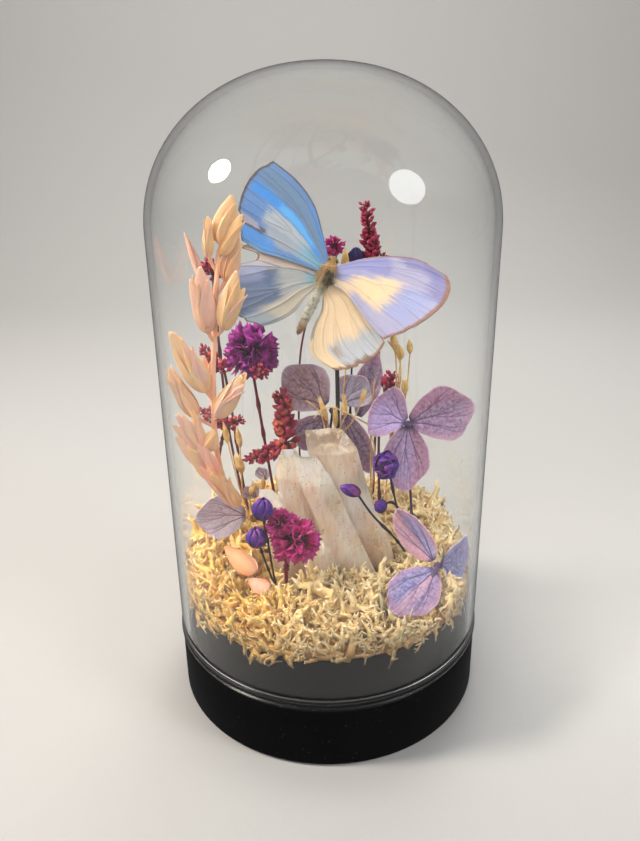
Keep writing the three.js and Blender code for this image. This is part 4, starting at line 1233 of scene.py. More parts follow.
def quartz_finish():
    quartz = Finish("milky_quartz")
    along = quartz.node("ShaderNodeMapping", None, {
        "Vector": quartz.here, "Rotation": (0.0, 0.24, 0.0), "Scale": (1.0, 1.0, 0.14)})
    veil, streak = quartz.cloud(4.0 * MM, 4, along), quartz.cloud(0.8 * MM, 3, along)
    patch, grain = quartz.cloud(12, 3), quartz.cloud(0.7, 3)
    speck = quartz.cells(1.1).rise(0.2, 0.1) * quartz.cloud(5, 2).rise(0.42, 0.54)
    height = quartz.place("Z")
    milk = quartz.mix(patch.rise(0.3, 0.7), srgb(242, 216, 184), srgb(244, 236, 230))
    milk = quartz.mix(veil.rise(0.35, 0.75) * 0.7, milk, srgb(252, 240, 224))
    milk = quartz.mix(streak.rise(0.42, 0.75) * 0.5, milk, srgb(224, 180, 158))
    dirt = height.rise(0.083, 0.091) * quartz.cloud(3, 4).rise(0.3, 0.52)
    milk = quartz.mix(dirt * 0.75, milk, srgb(146, 116, 88))
    milk = quartz.mix(height.rise(0.056, 0.042) * 0.5, milk, srgb(220, 178, 122))
    milk = quartz.mix(speck * 0.85, milk, srgb(78, 62, 52))
    from_tip = quartz.vector("DISTANCE", quartz.here, tuple(np.array(CLEAR_TIP) * MM), "Value")
    clear = from_tip.rise(0.0027, 0.0013)
    milk = quartz.mix(clear, milk, srgb(252, 252, 255))
    relief = streak * 0.5 + grain * 0.35 + speck * 0.3
    return quartz.shade(Base_Color=milk, Roughness=patch * 0.2 + 0.2 - clear * 0.2,
                        Normal=quartz.bump(relief, 0.05),
                        Transmission_Weight=0.25, IOR=1.54, Subsurface_Weight=0.85,
                        Subsurface_Radius=(1.0, 0.8, 0.62), Subsurface_Scale=0.006,
                        Coat_Weight=0.25, Coat_Roughness=0.12)


quartz = crystal_skin()
quartz.data.materials.clear()
quartz.data.materials.append(quartz_finish())
settle(quartz, "quartz", "quartz_cluster")

# %% [markdown]
# ## The butterfly's body and wire
# The body is a small head with two eyes, a stout thorax that carries the wings, and a thin
# ringed abdomen that has shrunk as it dried. It is one round tube whose radius follows those
# parts. Fur covers it: short tapered hairs grow over it and are combed towards the tail.

# %% Butterfly body
HEAD_END, TAIL_END = (2.5, 5.3, -0.1), (-8.9, -17.0, -0.6)
BODY_PLACES = [0, 0.03, 0.07, 0.1, 0.125, 0.16, 0.22, 0.3, 0.37, 0.42, 0.55, 0.75, 0.92, 0.97, 1]
BODY_RADII = [0.4, 1.1, 1.3, 1.1, 0.95, 1.6, 2.2, 2.2, 1.6, 1.2, 1.5, 1.35, 0.95, 0.7, 0.35]
RINGED_FROM, RINGS = 0.42, 8
EYES = [(2.95, 3.75, 0.35), (1.0, 4.65, 0.35)]
ANTENNAE = [
    [(2.6, 4.9, 0.4), (3.5, 6.0, 1.2), (4.6, 6.6, 2.4)],
    [(2.0, 5.1, 0.4), (1.9, 6.4, 1.3), (2.4, 7.4, 2.6)],
]


def body_mesh(steps=90):
    share = np.linspace(0, 1, steps + 1)
    rings = np.abs(np.sin(np.pi * RINGS * (share - RINGED_FROM) / (1 - RINGED_FROM)))
    radius = np.interp(share, BODY_PLACES, BODY_RADII)
    radius *= 1 - np.where(share > RINGED_FROM, 0.16 * (1 - rings) ** 2, 0)
    points, faces, way = tube([HEAD_END, TAIL_END], radius, steps, sides=24)
    centre = np.outer(1 - way, HEAD_END) + np.outer(way, TAIL_END)
    shrunk = [1 + 0.16 * noise.noise(Vector(point) * 0.9) for point in points]
    points = centre + (np.array(points) - centre) * np.array(shrunk)[:, None]
    comb = unit(from_wing_frame(np.array(TAIL_END)) - from_wing_frame(np.array(HEAD_END)))
    furry = np.interp(way, [0, 0.05, 0.38, 0.45, 1], [0.6, 1, 1, 0.45, 0.35])
    length = np.interp(way, [0, 0.05, 0.2, 0.38, 0.45, 1], [0.6, 0.8, 1.4, 1.3, 0.6, 0.42])
    body = Piece().add(from_wing_frame(points), faces, dark=0.0, **soil(furry, length, comb * 1.1))
    for eye in EYES:
        bead, faces = ball(eye, 0.55)
        body.add(from_wing_frame(bead), faces, dark=1.0, **soil(0.0))
    for route in ANTENNAE:
        points, faces, _ = tube(route, [0.13, 0.09, 0.14], 10, 6)
        body.add(from_wing_frame(points), faces, dark=1.0, **soil(0.0))
    return body


def hair(length, radius, bend):
    points, faces, share = tube([(0, 0, 0), (bend * 0.3, 0, length * 0.5), (bend, 0, length)],
                                [radius, radius * 0.7, radius * 0.15], steps=3, sides=3)
    return Piece().add(points, faces, tip=share, dark=0.0)


def body_finish():
    body = Finish("furry_body")
    head, tail = (from_wing_frame(np.array(end)) * MM for end in (HEAD_END, TAIL_END))
    from_head = body.vector("SUBTRACT", body.here, tuple(head))
    axis = tuple((tail - head) / np.dot(tail - head, tail - head))
    blotch = body.cloud(1.3, 3)
    way = body.vector("DOT_PRODUCT", from_head, axis, "Value") + (blotch - 0.5) * 0.12
    right = tuple(unit(np.cross((0, -1, 0.42), tail - head)))
    side = body.vector("DOT_PRODUCT", from_head, right, "Value")
    fur = body.node("ShaderNodeValToRGB", {"stops": [
        (0.0, srgb(190, 138, 76)), (0.12, srgb(232, 186, 118)), (0.2, srgb(206, 164, 106)),
        (0.3, srgb(190, 154, 104)), (0.38, srgb(190, 176, 138)), (0.45, srgb(214, 212, 194)),
        (0.75, srgb(230, 226, 208)), (0.92, srgb(176, 130, 84)), (1.0, srgb(84, 52, 32)),
    ]}, {0: way})
    patch = way.rise(0.17, 0.22) * way.rise(0.4, 0.33) * side.rise(-0.0008, 0.0)
    fur = body.mix(patch * 0.9, fur, srgb(44, 28, 24))
    # Painted shade: darker grey-green in the crease of the waist, where the abdomen starts.
    painted_crease_shade = way.rise(0.4, 0.46) * body.cloud(0.9, 3).rise(0.5, 0.68)
    fur = body.mix(painted_crease_shade * 0.6, fur, srgb(84, 82, 72))
    fur = body.mix(body.value("shade").rise(0.5, 1.0) * 0.6, fur, srgb(236, 216, 176))
    fur = body.mix(body.value("shade").rise(0.3, 0.0) * 0.25, fur, srgb(88, 72, 58))
    fur = body.mix(body.value("tip").rise(0.5, 0.0) * 0.2, fur, srgb(96, 76, 54))
    fur = body.mix(body.value("dark"), fur, srgb(34, 26, 24))
    return body.shade(Base_Color=fur, Roughness=body.value("dark") * -0.35 + 0.75,
                      Normal=body.bump(blotch, 0.1), Sheen_Weight=0.3)


hairs = shape_collection("hair", [hair(1.3, 0.07, bend) for bend in (0.1, 0.35, 0.6)])
body = grown("furry_body_and_head", body_mesh(), hairs, body_finish(), density=13,
             size=(0.5, 1.2), lean=0.5)
settle(body, "butterfly_body", "butterfly_body")

# %% [markdown]
# A black lacquered wire carries the butterfly. It runs from the plinth up behind the crystals to
# the thorax. A curve object with a bevel would do as well; the tube has closed ends already.

# %% Mounting wire
WIRE_RADIUS = 0.7
MOUNTING_WIRE = [(4, 6.3, PLINTH_HEIGHT + GAP), (4.1, 8.6, 70), (4, 11, 106), (3.2, 9.6, 126),
                 (1.4, 6.4, 135.6)]


def wire_finish():
    wire = Finish("black_lacquered_wire")
    grain = wire.cloud(0.8, 3)
    colour = wire.mix(grain, srgb(16, 15, 16), srgb(34, 32, 32))
    return wire.shade(Base_Color=colour, Roughness=grain * 0.2 + 0.28, Metallic=0.3,
                      Normal=wire.bump(grain, 0.02), Coat_Weight=0.4)


points, faces, _ = tube(MOUNTING_WIRE, [WIRE_RADIUS], 60, 14)
wire = Piece().add(points, faces).make("lacquered_wire", wire_finish())
settle(wire, "black_wire", "mounting_wire")

# %% [markdown]
# ## The oat sprig
# A dried oat carries its grain in spikelets: papery husks, cupped round each other, that gape
# at their tips and hang on thin stalks. One husk is a closed sheet, cupped across and bent
# outwards towards its tip. A spikelet is four of them, each turned its own way, and beside some
# spikelets stand single husks. The tip of some is frayed.

# %% Oat shapes
HUSK_THICKNESS = 0.16
OAT_STEM = [(-31, 15, MOSS_FOOT), (-33.5, 6, 66), (-34.8, -1, 86), (-33.8, -5, 108),
            (-31.7, -7, 128), (-30, -8, 143), (-29, -8, 150)]
# Foot, tip and half width of each spikelet, and how frayed its tips are.
SPIKELETS = [
    ((-28.2, -8, 151.5), (-24.6, -7.5, 164.2), 3.1, 0.1),
    ((-32, -8.6, 148), (-31.2, -9, 160), 1.6, 0.0),
    ((-27.6, -7.2, 141), (-23.4, -7.4, 154), 2.6, 0.0),
    ((-33.6, -9, 126.5), (-34.4, -10, 146), 3.0, 0.0),
    ((-28.8, -9.6, 127.5), (-24.2, -10.8, 145), 2.9, 0.0),
    ((-35.6, -6.4, 107), (-44.6, -9, 127), 3.6, 0.0),
    ((-36, -1.2, 105), (-36, -3, 118), 1.6, 0.0),
    ((-33, -7.4, 99), (-23.4, -11, 114.5), 2.9, 0.0),
    ((-39.8, -4.2, 97.6), (-46.2, -7.4, 114.4), 2.7, 0.45),
    ((-37.0, -6.2, 87.4), (-45.2, -9, 101.4), 2.8, 0.25),
    ((-33.4, -5, 75.6), (-42.0, -9.4, 90), 3.2, 0.2),
    ((-28.6, -5.5, 67), (-35.2, -13, 83.5), 3.0, 0.1),
]
# Single husks that stand beside a spikelet: its number, then foot, tip, half width and fray.
SIDE_HUSKS = [
    (1, (-28.4, -8.6, 148.5), (-21.6, -8.8, 159.8), 1.9, 0.0),
    (4, (-33.8, -9.6, 128), (-36.8, -10.4, 143), 2.0, 0.0),
    (5, (-28.4, -9.8, 129), (-21.8, -11, 140), 1.8, 0.0),
    (6, (-36.4, -6.8, 108), (-40.2, -9.4, 124), 2.2, 0.1),
    (8, (-31.4, -8, 102), (-23.6, -11.4, 111), 1.8, 0.0),
    (9, (-41.0, -4.6, 99), (-47.0, -7.2, 112), 1.7, 0.6),
    (10, (-37.6, -7, 89), (-39.6, -8.4, 101.4), 1.7, 0.5),
    (10, (-36.7, -7, 87.8), (-33.6, -8.4, 95.6), 2.6, 0.0),
    (10, (-38.2, -6.6, 87), (-46.2, -8.6, 97.6), 2.2, 0.3),
    (11, (-36.6, -6, 80.6), (-46.0, -7.6, 93.4), 3.0, 0.1),
    (11, (-34.4, -7.2, 80), (-38.4, -9.4, 91.6), 2.4, 0.2),
    (12, (-30.4, -8, 71), (-38.4, -10.4, 84), 2.2, 0.3),
    (12, (-28.6, -7, 68.6), (-31.6, -10.6, 81), 1.9, 0.3),
]
SIDE_HUSK_TURNS = [(60, 0.9, 0.12), (-10, 1.0, 0.04)]
FALLEN_HUSKS = [
    ((-22.4, -21, 51.8), (-31.8, -14.4, 57.2), 3.0, 0.0),
    ((-18.0, -28.2, 50.6), (-24.4, -24, 51.8), 2.5, 0.0),
]
FAR_HUSK = ((-37.5, 22, 131), (-44, 21, 149), 1.5, 0.0)
# Each husk of a spikelet: its turn in degrees, its size and how far it bends out.
HUSKS = [(176, 0.97, 0.05), (-112, 0.86, 0.10), (60, 0.86, 0.14), (-8, 1.0, 0.03)]
CUP = 0.95                       # radians from a husk's middle line to its edge


def add_husk(piece, foot, tip, half, frayed, turn, size, bend, facing=(0, -1, 0), blush=0.0,
             rows=22, columns=13):
    """One husk, cupped about the spikelet's axis with its back turned away from it."""
    length = np.linalg.norm(np.subtract(tip, foot)) * size
    s, share = grid_of(rows, columns)
    t = 2 * share - 1
    wide = np.sin(np.pi * (0.05 + 0.93 * s**0.74)) ** 0.8
    wide = 1.12 * half * size * np.maximum(wide, frayed * s**2 + 0.03)
    rib = 0.03 * np.cos(5 * np.pi * t) * np.sin(np.pi * s)
    x = wide * np.sin(CUP * t) / math.sin(CUP)
    y = -wide * (0.8 * (np.cos(CUP * t) - math.cos(CUP)) + rib) - bend * length * s**2.2
    split = frayed * length * 0.16 * np.sin(9 * t + turn) * s**8
    wave = 0.25 * np.sin(3 * s + turn) * s
    z = length * (s - 0.04 * t**2 * np.sin(np.pi * s)) + split
    angle = math.radians(turn)
    grid = np.dstack([(x + wave) * math.cos(angle) - y * math.sin(angle),
                      (x + wave) * math.sin(angle) * 0.7 + y * math.cos(angle) * 0.7, z])
    grid = stood(grid.reshape(-1, 3), foot, tip, facing).reshape(grid.shape)
    points, faces, _ = sheet(grid, HUSK_THICKNESS)
    piece.add(points, faces, out=twice(s), across=twice(t), shade=dice.random(), blush=blush)


def spikelet(foot, tip, half, frayed, facing=(0, -1, 0), stalk=None, husks=HUSKS, blush=0.0):
    piece = Piece()
    for turn, size, bend in husks:
        add_husk(piece, foot, tip, half, frayed, turn + dice.uniform(-14, 14),
                 size * dice.uniform(0.94, 1.04), bend * dice.uniform(0.6, 1.3), facing, blush)
    if stalk is not None:
        foot = np.array(foot)
        inner = foot + unit(np.subtract(tip, foot)) * 1.5
        route = [stalk, foot * 0.6 + np.array(stalk) * 0.4, inner]
        points, faces, share = tube(route, [0.4, 0.5, 0.8], 14, 8)
        piece.add(points, faces, out=share * 0.1, across=0.0, shade=0.5, blush=blush)
    return piece


def nearest_on_stem(point):
    """Where a spikelet's stalk leaves the stem, a little below its foot."""
    path = curve(OAT_STEM, np.linspace(0, 1, 200))
    distance = np.linalg.norm(path - (np.array(point) - (0, 0, 4)), axis=1)
    return path[np.argmin(distance)]

print("spikelets:", len(SPIKELETS), "single husks:", len(SIDE_HUSKS))

# %% [markdown]
# Husks are straw that has been dyed a pale peach, and the dye took unevenly: pinker at the foot,
# creamier at the edges and the tip, with fine lines along their length.

# %% Oats
def husk_finish():
    husk = Finish("papery_husk")
    out, across, shade = husk.value("out"), husk.value("across"), husk.value("shade")
    cloud = husk.cloud(3.5, 3)
    lines = husk.cloud(1.0, 4, husk.xyz(out * 3, across * 11, shade * 40))
    peach = husk.mix(shade.rise(0.25, 0.7), srgb(252, 198, 150), srgb(255, 194, 176))
    cream = husk.mix(shade, srgb(250, 204, 142), srgb(246, 202, 172))
    edge = (abs(across).rise(0.45, 1.0) * 0.8).most(out.rise(0.5, 1.0) * 0.65)
    colour = husk.mix(edge * (cloud * 0.7 + 0.3), peach, cream)
    colour = husk.mix(out.rise(0.3, 0.0) * 0.5, colour, srgb(232, 158, 122))
    low = husk.place("Z").rise(0.1, 0.075)
    colour = husk.mix(low * shade * 0.8, colour, srgb(246, 166, 140))
    sunny = abs(across).rise(0.1, 0.8).most(out.rise(0.6, 1.0))
    colour = husk.mix(husk.value("blush") * (sunny * 0.6 + 0.1), colour, srgb(230, 130, 78))
    colour = husk.mix(cloud.rise(0.42, 0.62) * shade * 0.8, colour, srgb(240, 186, 176))
    colour = husk.mix(lines.rise(0.55, 0.8) * 0.22, colour, srgb(190, 130, 96))
    colour = husk.mix(husk.cells(1.4).rise(0.08, 0.03) * 0.7, colour, srgb(130, 80, 60))
    return husk.shade(Base_Color=colour, Roughness=lines * 0.25 + 0.42, Normal=husk.bump(lines, 0.09),
                      Subsurface_Weight=0.3, Subsurface_Radius=(1.0, 0.6, 0.4),
                      Subsurface_Scale=0.001, Sheen_Weight=0.1)


HUSK_FINISH = husk_finish()
stem_swells = 1 + 0.25 * np.abs(np.sin(np.linspace(0, 22, 90))) ** 12
points, faces, share = tube(OAT_STEM, np.linspace(1.0, 0.62, 90) * stem_swells, 90, 12)
stem = Piece().add(points, faces, out=share * 0.4, across=0.0, shade=0.4)
settle(stem.make("straw_stem", HUSK_FINISH), "oat_husk", "oat_stem")

for number, (foot, tip, half, frayed) in enumerate(SPIKELETS, start=1):
    husks = spikelet(foot, tip, half, frayed, stalk=nearest_on_stem(foot))
    for beside, *side_husk in SIDE_HUSKS:
        for turn, size, bend in SIDE_HUSK_TURNS if beside == number else ():
            add_husk(husks, *side_husk, turn, size, bend)
    settle(husks.make(f"spikelet_{number}_husks", HUSK_FINISH), "oat_husk", f"oat_spikelet_{number}")
for index, (foot, tip, half, frayed) in enumerate(FALLEN_HUSKS):
    husks = spikelet(foot, tip, half, frayed, facing=(0, -0.4, 1), husks=HUSKS[::3], blush=1.0)
    settle(husks.make(f"fallen_{index + 1}_husks", HUSK_FINISH), "oat_husk", f"fallen_husk_{index + 1}")
far_husk = Piece()
for turn, size, bend in HUSKS[1:4]:
    add_husk(far_husk, *FAR_HUSK, turn, size, bend * 0.4)
settle(far_husk.make("far_left_husk", HUSK_FINISH), "oat_husk")

# %% [markdown]
# ## Floret stalks
# Each floret's petals meet at a dark eye, a little heap of dried stamens, on a thin stalk that
# runs down into the moss.

# %% Floret stalks
FLORET_STALKS = {                # the eye's place, the stalk's route and that of a pistil that still hangs
    "right_floret_stalk": ((26, 0.8, 92), [(26, 2.2, 91.6), (28, 8, 70), (30, 10, MOSS_FOOT)], None),
    "low_floret_stalk": ((34.2, -18.2, 51.8), [(34.5, -17.6, 51), (35.3, -16.5, 48.6), (35, -15, 45.9)],
                         [(34, -18.8, 51.6), (32.8, -20.4, 50.6), (31.4, -22.4, 49.4)]),
    "back_floret_stalk": ((2.6, 17, 90), [(2.6, 18, 89.6), (0, 21, 68), (-2, 23, MOSS_FOOT)], None),
}
EYE_REACH, HEART_RADIUS, BEAD_RADIUS, BEADS = 0.85, 0.8, 0.5, 8


def wiry_stem(route, radius, steps=48, sides=8, knots=4):
    """A thin stem that swells a little at a few knots."""
    share = np.linspace(0, 1, steps + 1)
    swell = np.ones(steps + 1)
    for _ in range(knots):
        swell += 0.7 * np.exp(-((share - dice.uniform(0.1, 0.95)) / 0.02) ** 2)
    return tube(route, radius * swell, steps, sides)


def stem_finish(name, young, old):
    stem = Finish(name)
    grain = stem.cloud(0.9, 3)
    colour = stem.mix(stem.cloud(6, 2).rise(0.4, 0.6), young, old)
    colour = stem.mix(grain.rise(0.5, 0.8) * 0.3, colour, srgb(20, 12, 20))
    return stem.shade(Base_Color=colour, Roughness=grain * 0.3 + 0.4, Normal=stem.bump(grain, 0.05))


STALK_FINISH = stem_finish("floret_stalk", srgb(84, 62, 106), srgb(52, 36, 70))
for stalk_name, (eye, route, pistil) in FLORET_STALKS.items():
    stalk = Piece()
    stalk.add(*wiry_stem(route, 0.45)[:2])
    for step in range(BEADS + 1):
        out = 0.0 if step == 0 else EYE_REACH
        angle = step * 2 * math.pi / BEADS
        place = np.array(eye) + (out * math.cos(angle), -0.5 + out * 0.3, out * math.sin(angle))
        stalk.add(*ball(place, BEAD_RADIUS if step else HEART_RADIUS))
    if pistil:
        stalk.add(*tube(pistil, [0.7, 0.9, 0.7], 12, 10)[:2])
    settle(stalk.make(f"{stalk_name}_and_eye", STALK_FINISH), "dry_stalk", stalk_name)

# %% [markdown]
# ## Gypsophila
# Dyed gypsophila is a ball of ruffled petals on a wiry stem, or a closed bud wrapped in pointed
# sepals. A ruffled bloom is a small core, painted as dark as the shade inside it, with its petals
# grown over it. Each petal is a small sheet with a fringed edge, and they stand so close that they
# hide the core.

# %% Bloom shapes
RUFFLE_THICKNESS, SEPAL_THICKNESS = 0.035, 0.12


def ruffled_petal(width, cup, curl):
    """A petal one millimetre long, with a narrow foot and a fringed edge."""
    s, share = grid_of(6, 6)
    t = 2 * share - 1
    half = width * (0.16 + 0.84 * s**1.3) / 2
    fringe = np.where(s > 0.9, 0.22 * (np.arange(6) % 2) - 0.05, 0)
    x, z = half * t, s * (1 - 0.15 * t**2) + fringe
    y = cup * t**2 * s - curl * s**2 + 0.06 * np.sin(7 * t + 20 * curl) * s
    points, faces, _ = sheet(np.dstack([x, y, z]), RUFFLE_THICKNESS)
    return Piece().add(points, faces, tip=twice(s))


def add_bud(piece, foot, tip, radius, sepals=6, mouth=0.05, flush=0.0):
    """A bud: a round core, and sepals that wrap it and meet at the top, or leave a mouth open."""
    length = np.linalg.norm(np.subtract(tip, foot))
    height = np.linspace(0, 1, 13)
    profile = np.column_stack([0.9 * radius * np.sin(np.pi * height**0.85) ** 0.6, length * height * 0.97])
    points, faces = turned(profile, 16)
    piece.add(stood(points, foot, tip), faces, shade=0.2 + flush, **soil(0.0))
    s, share = grid_of(13, 9)
    t = 2 * share - 1
    for step in range(sepals):
        angle = 2 * math.pi * step / sepals + t * (0.85 - 0.6 * s**2) + 0.5 * s
        lift = radius * (0.97 + 0.1 * (step % 2) - 0.05 * t * s)
        lift += radius * 0.05 * np.sin(5 * t + 9 * s + 2 * step) * np.sin(np.pi * s)
        out = lift * np.maximum(np.sin(np.pi * (0.04 + 0.93 * s**0.85)) ** 0.6, mouth * s)
        grid = np.dstack([out * np.cos(angle), out * np.sin(angle), length * (s * 1.1 - 0.05 * t**2)])
        grid = stood(grid.reshape(-1, 3), foot, tip).reshape(grid.shape)
        points, faces, _ = sheet(grid, SEPAL_THICKNESS)
        piece.add(points, faces, shade=0.3 + 0.6 * dice.random() + flush, **{**soil(0.0), "tip": twice(s)})


def add_head(piece, centre, radius, crowd):
    """The core of a ruffled bloom. Its petals are sized and crowded to suit its radius."""
    points, faces = ball(centre, radius * 0.42, segments=16, rings=10)
    piece.add(points, faces, shade=0.0, **soil(crowd / radius**2, radius))


def add_stem(piece, route, radius):
    points, faces, _ = wiry_stem(route, radius)
    piece.add(points, faces, shade=-1.0, **soil(0.0))


petal_shapes = shape_collection("ruffled_petal", [
    ruffled_petal(width, cup, curl) for width, cup, curl in
    [(0.75, 0.2, 0.1), (0.9, -0.15, 0.25), (0.6, 0.25, -0.15), (0.8, 0.1, 0.35), (0.55, -0.2, 0.0)]])

# %% [markdown]
# Deep inside a bloom, at the petals' feet and on the core, the colour is darkened by painted shade,
# and it is paler on the fringe. Stems share the finish with their bloom; a shade below zero marks them.

# %% Bloom finishes
def bloom_finish(name, deep, middle, fringe, stem, glow):
    bloom = Finish(name)
    tip, shade = bloom.value("tip"), bloom.value("shade")
    cloud = bloom.cloud(2.2, 3)
    # Painted shade: the deep colour at the petals' feet and on the hidden core, the dark inside the bloom.
    colour = bloom.mix(tip.rise(0.05, 0.65), deep, middle)
    colour = bloom.mix(tip.rise(0.7, 1.0) * (shade * 0.8 + 0.2), colour, fringe)
    colour = bloom.mix(shade.rise(0.55, 1.0) * cloud.rise(0.4, 0.65) * 0.55, colour, glow)
    colour = bloom.mix(shade.rise(-0.2, -0.8), colour, stem)
    relief = bloom.cloud(0.35, 3)
    return bloom.shade(Base_Color=colour, Roughness=relief * 0.2 + 0.5, Normal=bloom.bump(relief, 0.06),
                       Subsurface_Weight=0.15, Subsurface_Radius=(1.0, 0.3, 0.7),
                       Subsurface_Scale=0.0008, Specular_IOR_Level=0.3)


AUBERGINE, WINE = srgb(38, 22, 40), srgb(112, 22, 44)
MAGENTA_FINISH = bloom_finish("magenta_bloom", srgb(78, 4, 44), srgb(176, 24, 98), srgb(184, 64, 148),
                              WINE, srgb(214, 82, 122))
PURPLE_FINISH = bloom_finish("purple_bloom", srgb(58, 6, 66), srgb(136, 28, 126), srgb(176, 68, 170),
                             WINE, srgb(206, 70, 128))
VIOLET_FINISH = bloom_finish("violet_bloom", srgb(34, 12, 66), srgb(66, 28, 122), srgb(128, 80, 182),
                             AUBERGINE, srgb(186, 84, 156))
NIGHT_FINISH = bloom_finish("dark_bud", srgb(24, 18, 48), srgb(46, 34, 84), srgb(76, 62, 128),
                            AUBERGINE, srgb(62, 48, 108))
made = (MAGENTA_FINISH, PURPLE_FINISH, VIOLET_FINISH, NIGHT_FINISH)
print("bloom finishes:", [finish.name for finish in made])

# %% [markdown]
# Each piece is a few heads or buds, and the stems that carry them down into the moss. Only the
# heads have petals grown over them. A bud's sepals are sheets of their own, since they can be
# told apart. The stems are drawn through a few points, so that each can lean on its neighbours.

# %% Blooms
BLOOMS = {                       # finish and slot, then buds (foot, tip) and heads (centre), then stems
    "bud_pair": (VIOLET_FINISH, "violet_bloom", [
        dict(foot=(-19.2, -23.8, 73.4), tip=(-18.8, -24.3, 79.8), radius=3.0),
        dict(foot=(-20.7, -23.8, 64.0), tip=(-21.6, -24.4, 69.8), radius=3.0),
    ], [
        ([(-19.1, -23.6, 75), (-17.6, -22.4, 60), (-16.4, -20.4, MOSS_FOOT)], 0.33),
        ([(-21, -23.6, 65.5), (-18.8, -22.4, 56), (-16.6, -20.8, 47)], 0.33),
    ]),
    "double_bloom": (MAGENTA_FINISH, "magenta_bloom", [
        dict(centre=(-14.2, -23, 71), radius=4.2, crowd=17),
        dict(centre=(-9.6, -24, 65.8), radius=6.6, crowd=17),
    ], [
        ([(-12, -23.5, 64), (-12.8, -22.6, 54), (-13, -21, MOSS_FOOT)], 0.6),
        ([(-14.2, -23, 70), (-13.2, -23.2, 64), (-12.4, -23, 58)], 0.33),
    ]),
    "violet_sprig": (VIOLET_FINISH, "violet_bloom", [
        dict(foot=(19.8, -5.0, 80.4), tip=(17.4, -9.4, 83.0), radius=4.1, sepals=5, mouth=0.8),
        dict(foot=(18.8, -6.4, 81.4), tip=(16.2, -11.0, 83.4), radius=3.0, sepals=4, mouth=0.6, flush=0.5),
        dict(centre=(16.8, -9.6, 82.8), radius=1.6, crowd=3),
        dict(foot=(18.0, -12.2, 69.2), tip=(15.2, -12.9, 71.2), radius=2.0),
    ], [
        ([(19.4, -7.4, 81), (22.6, -8.6, 66), (27.6, -9.6, 54), (29.5, -9, MOSS_FOOT)], 0.33),
        ([(17, -12.3, 70), (20, -10.4, 70.4), (22.4, -8.6, 67.4)], 0.34),
    ]),
    "front_bud": (VIOLET_FINISH, "violet_bloom", [
        dict(foot=(9.8, -17.4, 77.6), tip=(4.6, -17.6, 80.0), radius=1.75),
    ], [
        ([(8.8, -17.5, 78.2), (14, -17, 69.5), (20.5, -13.5, 60), (25, -11, 52),
          (27, -10.8, MOSS_FOOT)], 0.33),
    ]),
    "back_bloom": (PURPLE_FINISH, "magenta_bloom", [
        dict(centre=(-23.9, 16, 111.8), radius=8.1, crowd=22),
    ], [
        ([(-23.9, 16, 108), (-20.4, 17, 76), (-17, 19, MOSS_FOOT)], 0.5),
    ]),
    "high_bloom": (MAGENTA_FINISH, "magenta_bloom", [
        dict(centre=(3.4, 15, 144.8), radius=3.1, crowd=12),
    ], [
        ([(3, 15.2, 143), (-4.6, 17, 124), (-8.6, 20, 100), (-9, 22, MOSS_FOOT)], 0.33),
    ]),
    "dark_bud": (NIGHT_FINISH, "violet_bloom", [
        dict(foot=(10.2, 14.2, 139.4), tip=(10.0, 13.8, 144.4), radius=2.4),
    ], [
        ([(10.2, 14.2, 140.6), (9.4, 18, 116), (8.6, 23, 84), (8, 25, MOSS_FOOT)], 0.33),
    ]),
}

for bloom_name, (finish, slot, parts, stems) in BLOOMS.items():
    piece = Piece()
    for part in parts:
        add_part = add_head if "centre" in part else add_bud
        add_part(piece, **part)
    for route, radius in stems:
        add_stem(piece, route, radius)
    bloom = grown(f"{bloom_name}_flower", piece, petal_shapes, finish, density=2.4,
                  size=(0.5, 0.78), lean=0.55)
    settle(bloom, slot, bloom_name)

# %% [markdown]
# ## Crimson bud sprigs
# These sprigs are spikes of small oblong buds, red with a pink flush, crowded up a thin stem. Here
# and there one has opened into a tiny orange flower. The buds grow over the stem's upper part,
# combed towards its tip.

# %% Crimson sprigs
CRIMSON_SPRIGS = {               # the heads' foot, tip and radius, then the stem's route
    "top": (
        [((15.6, 14, 136), (12.4, 14, 160), 3), ((17, 14, 133), (19, 14, 145), 1.9)],
        [(15.6, 14, 140), (18, 20, 120), (18, 26, 92), (17, 26, MOSS_FOOT)]),
    "far_left": (
        [((-33.6, 15, 135.5), (-37.4, 14, 143), 3)],
        [(-34.4, 15, 137), (-34, 16, 112), (-33, 20, 80), (-29, 24, MOSS_FOOT)]),
    "mid_left": (
        [((-31, 4.5, 108.5), (-39.2, 5.5, 118), 2.8)],
        [(-31.4, 4.6, 109.4), (-31, 12.8, 94), (-29, 13, 70), (-26.5, 13.5, MOSS_FOOT)]),
    "low_left": (
        [((-31.5, 8.4, 88), (-42, 7.5, 96), 2.8), ((-34.4, 8.4, 88.4), (-25, 7.8, 92), 2.6)],
        [(-32.8, 8.6, 89), (-36.5, 13, 72), (-37, 16, MOSS_FOOT)]),
    "back": (
        [((-13.4, 11, 77), (-14.2, 11, 101.5), 4.2), ((-11.5, 10.6, 81), (-28, 9, 75), 3.2)],
        [(-13.4, 11, 82), (-13.2, 11.6, 68), (-13, 12, MOSS_FOOT)]),
    "right": (
        [((19, 10, 99), (22.6, 10, 107.5), 3)],
        [(19.4, 10, 100.5), (17.8, 12, 82), (19, 16, MOSS_FOOT)]),
}
ALL_CLOSED = ("top", "right", "far_left")
BUD_LENGTH, BUD_RADIUS, OPENED_RADIUS = 3.0, 0.64, 0.7


def small_bud(length, radius, opened):
    """One bud of a spike on its short stalk. An opened one flares at its tip."""
    lip = radius * 1.2 if opened else radius * 0.25
    profile = [(0, 0), (radius * 0.3, 0.02), (radius * 0.3, length * 0.25), (radius, length * 0.5),
               (radius * 0.9, length * 0.75), (lip, length * 0.97), (0, length * (0.86 if opened else 1))]
    points, faces = turned(profile, 6)
    tips = [0, 0.1, 0.3, 0.5, 0.8, 1.0, 0.9]
    tip = [tips[0]] + [value for value in tips[1:-1] for _ in range(6)] + [tips[-1]]
    return Piece().add(points, faces, tip=np.array(tip), opened=float(opened))


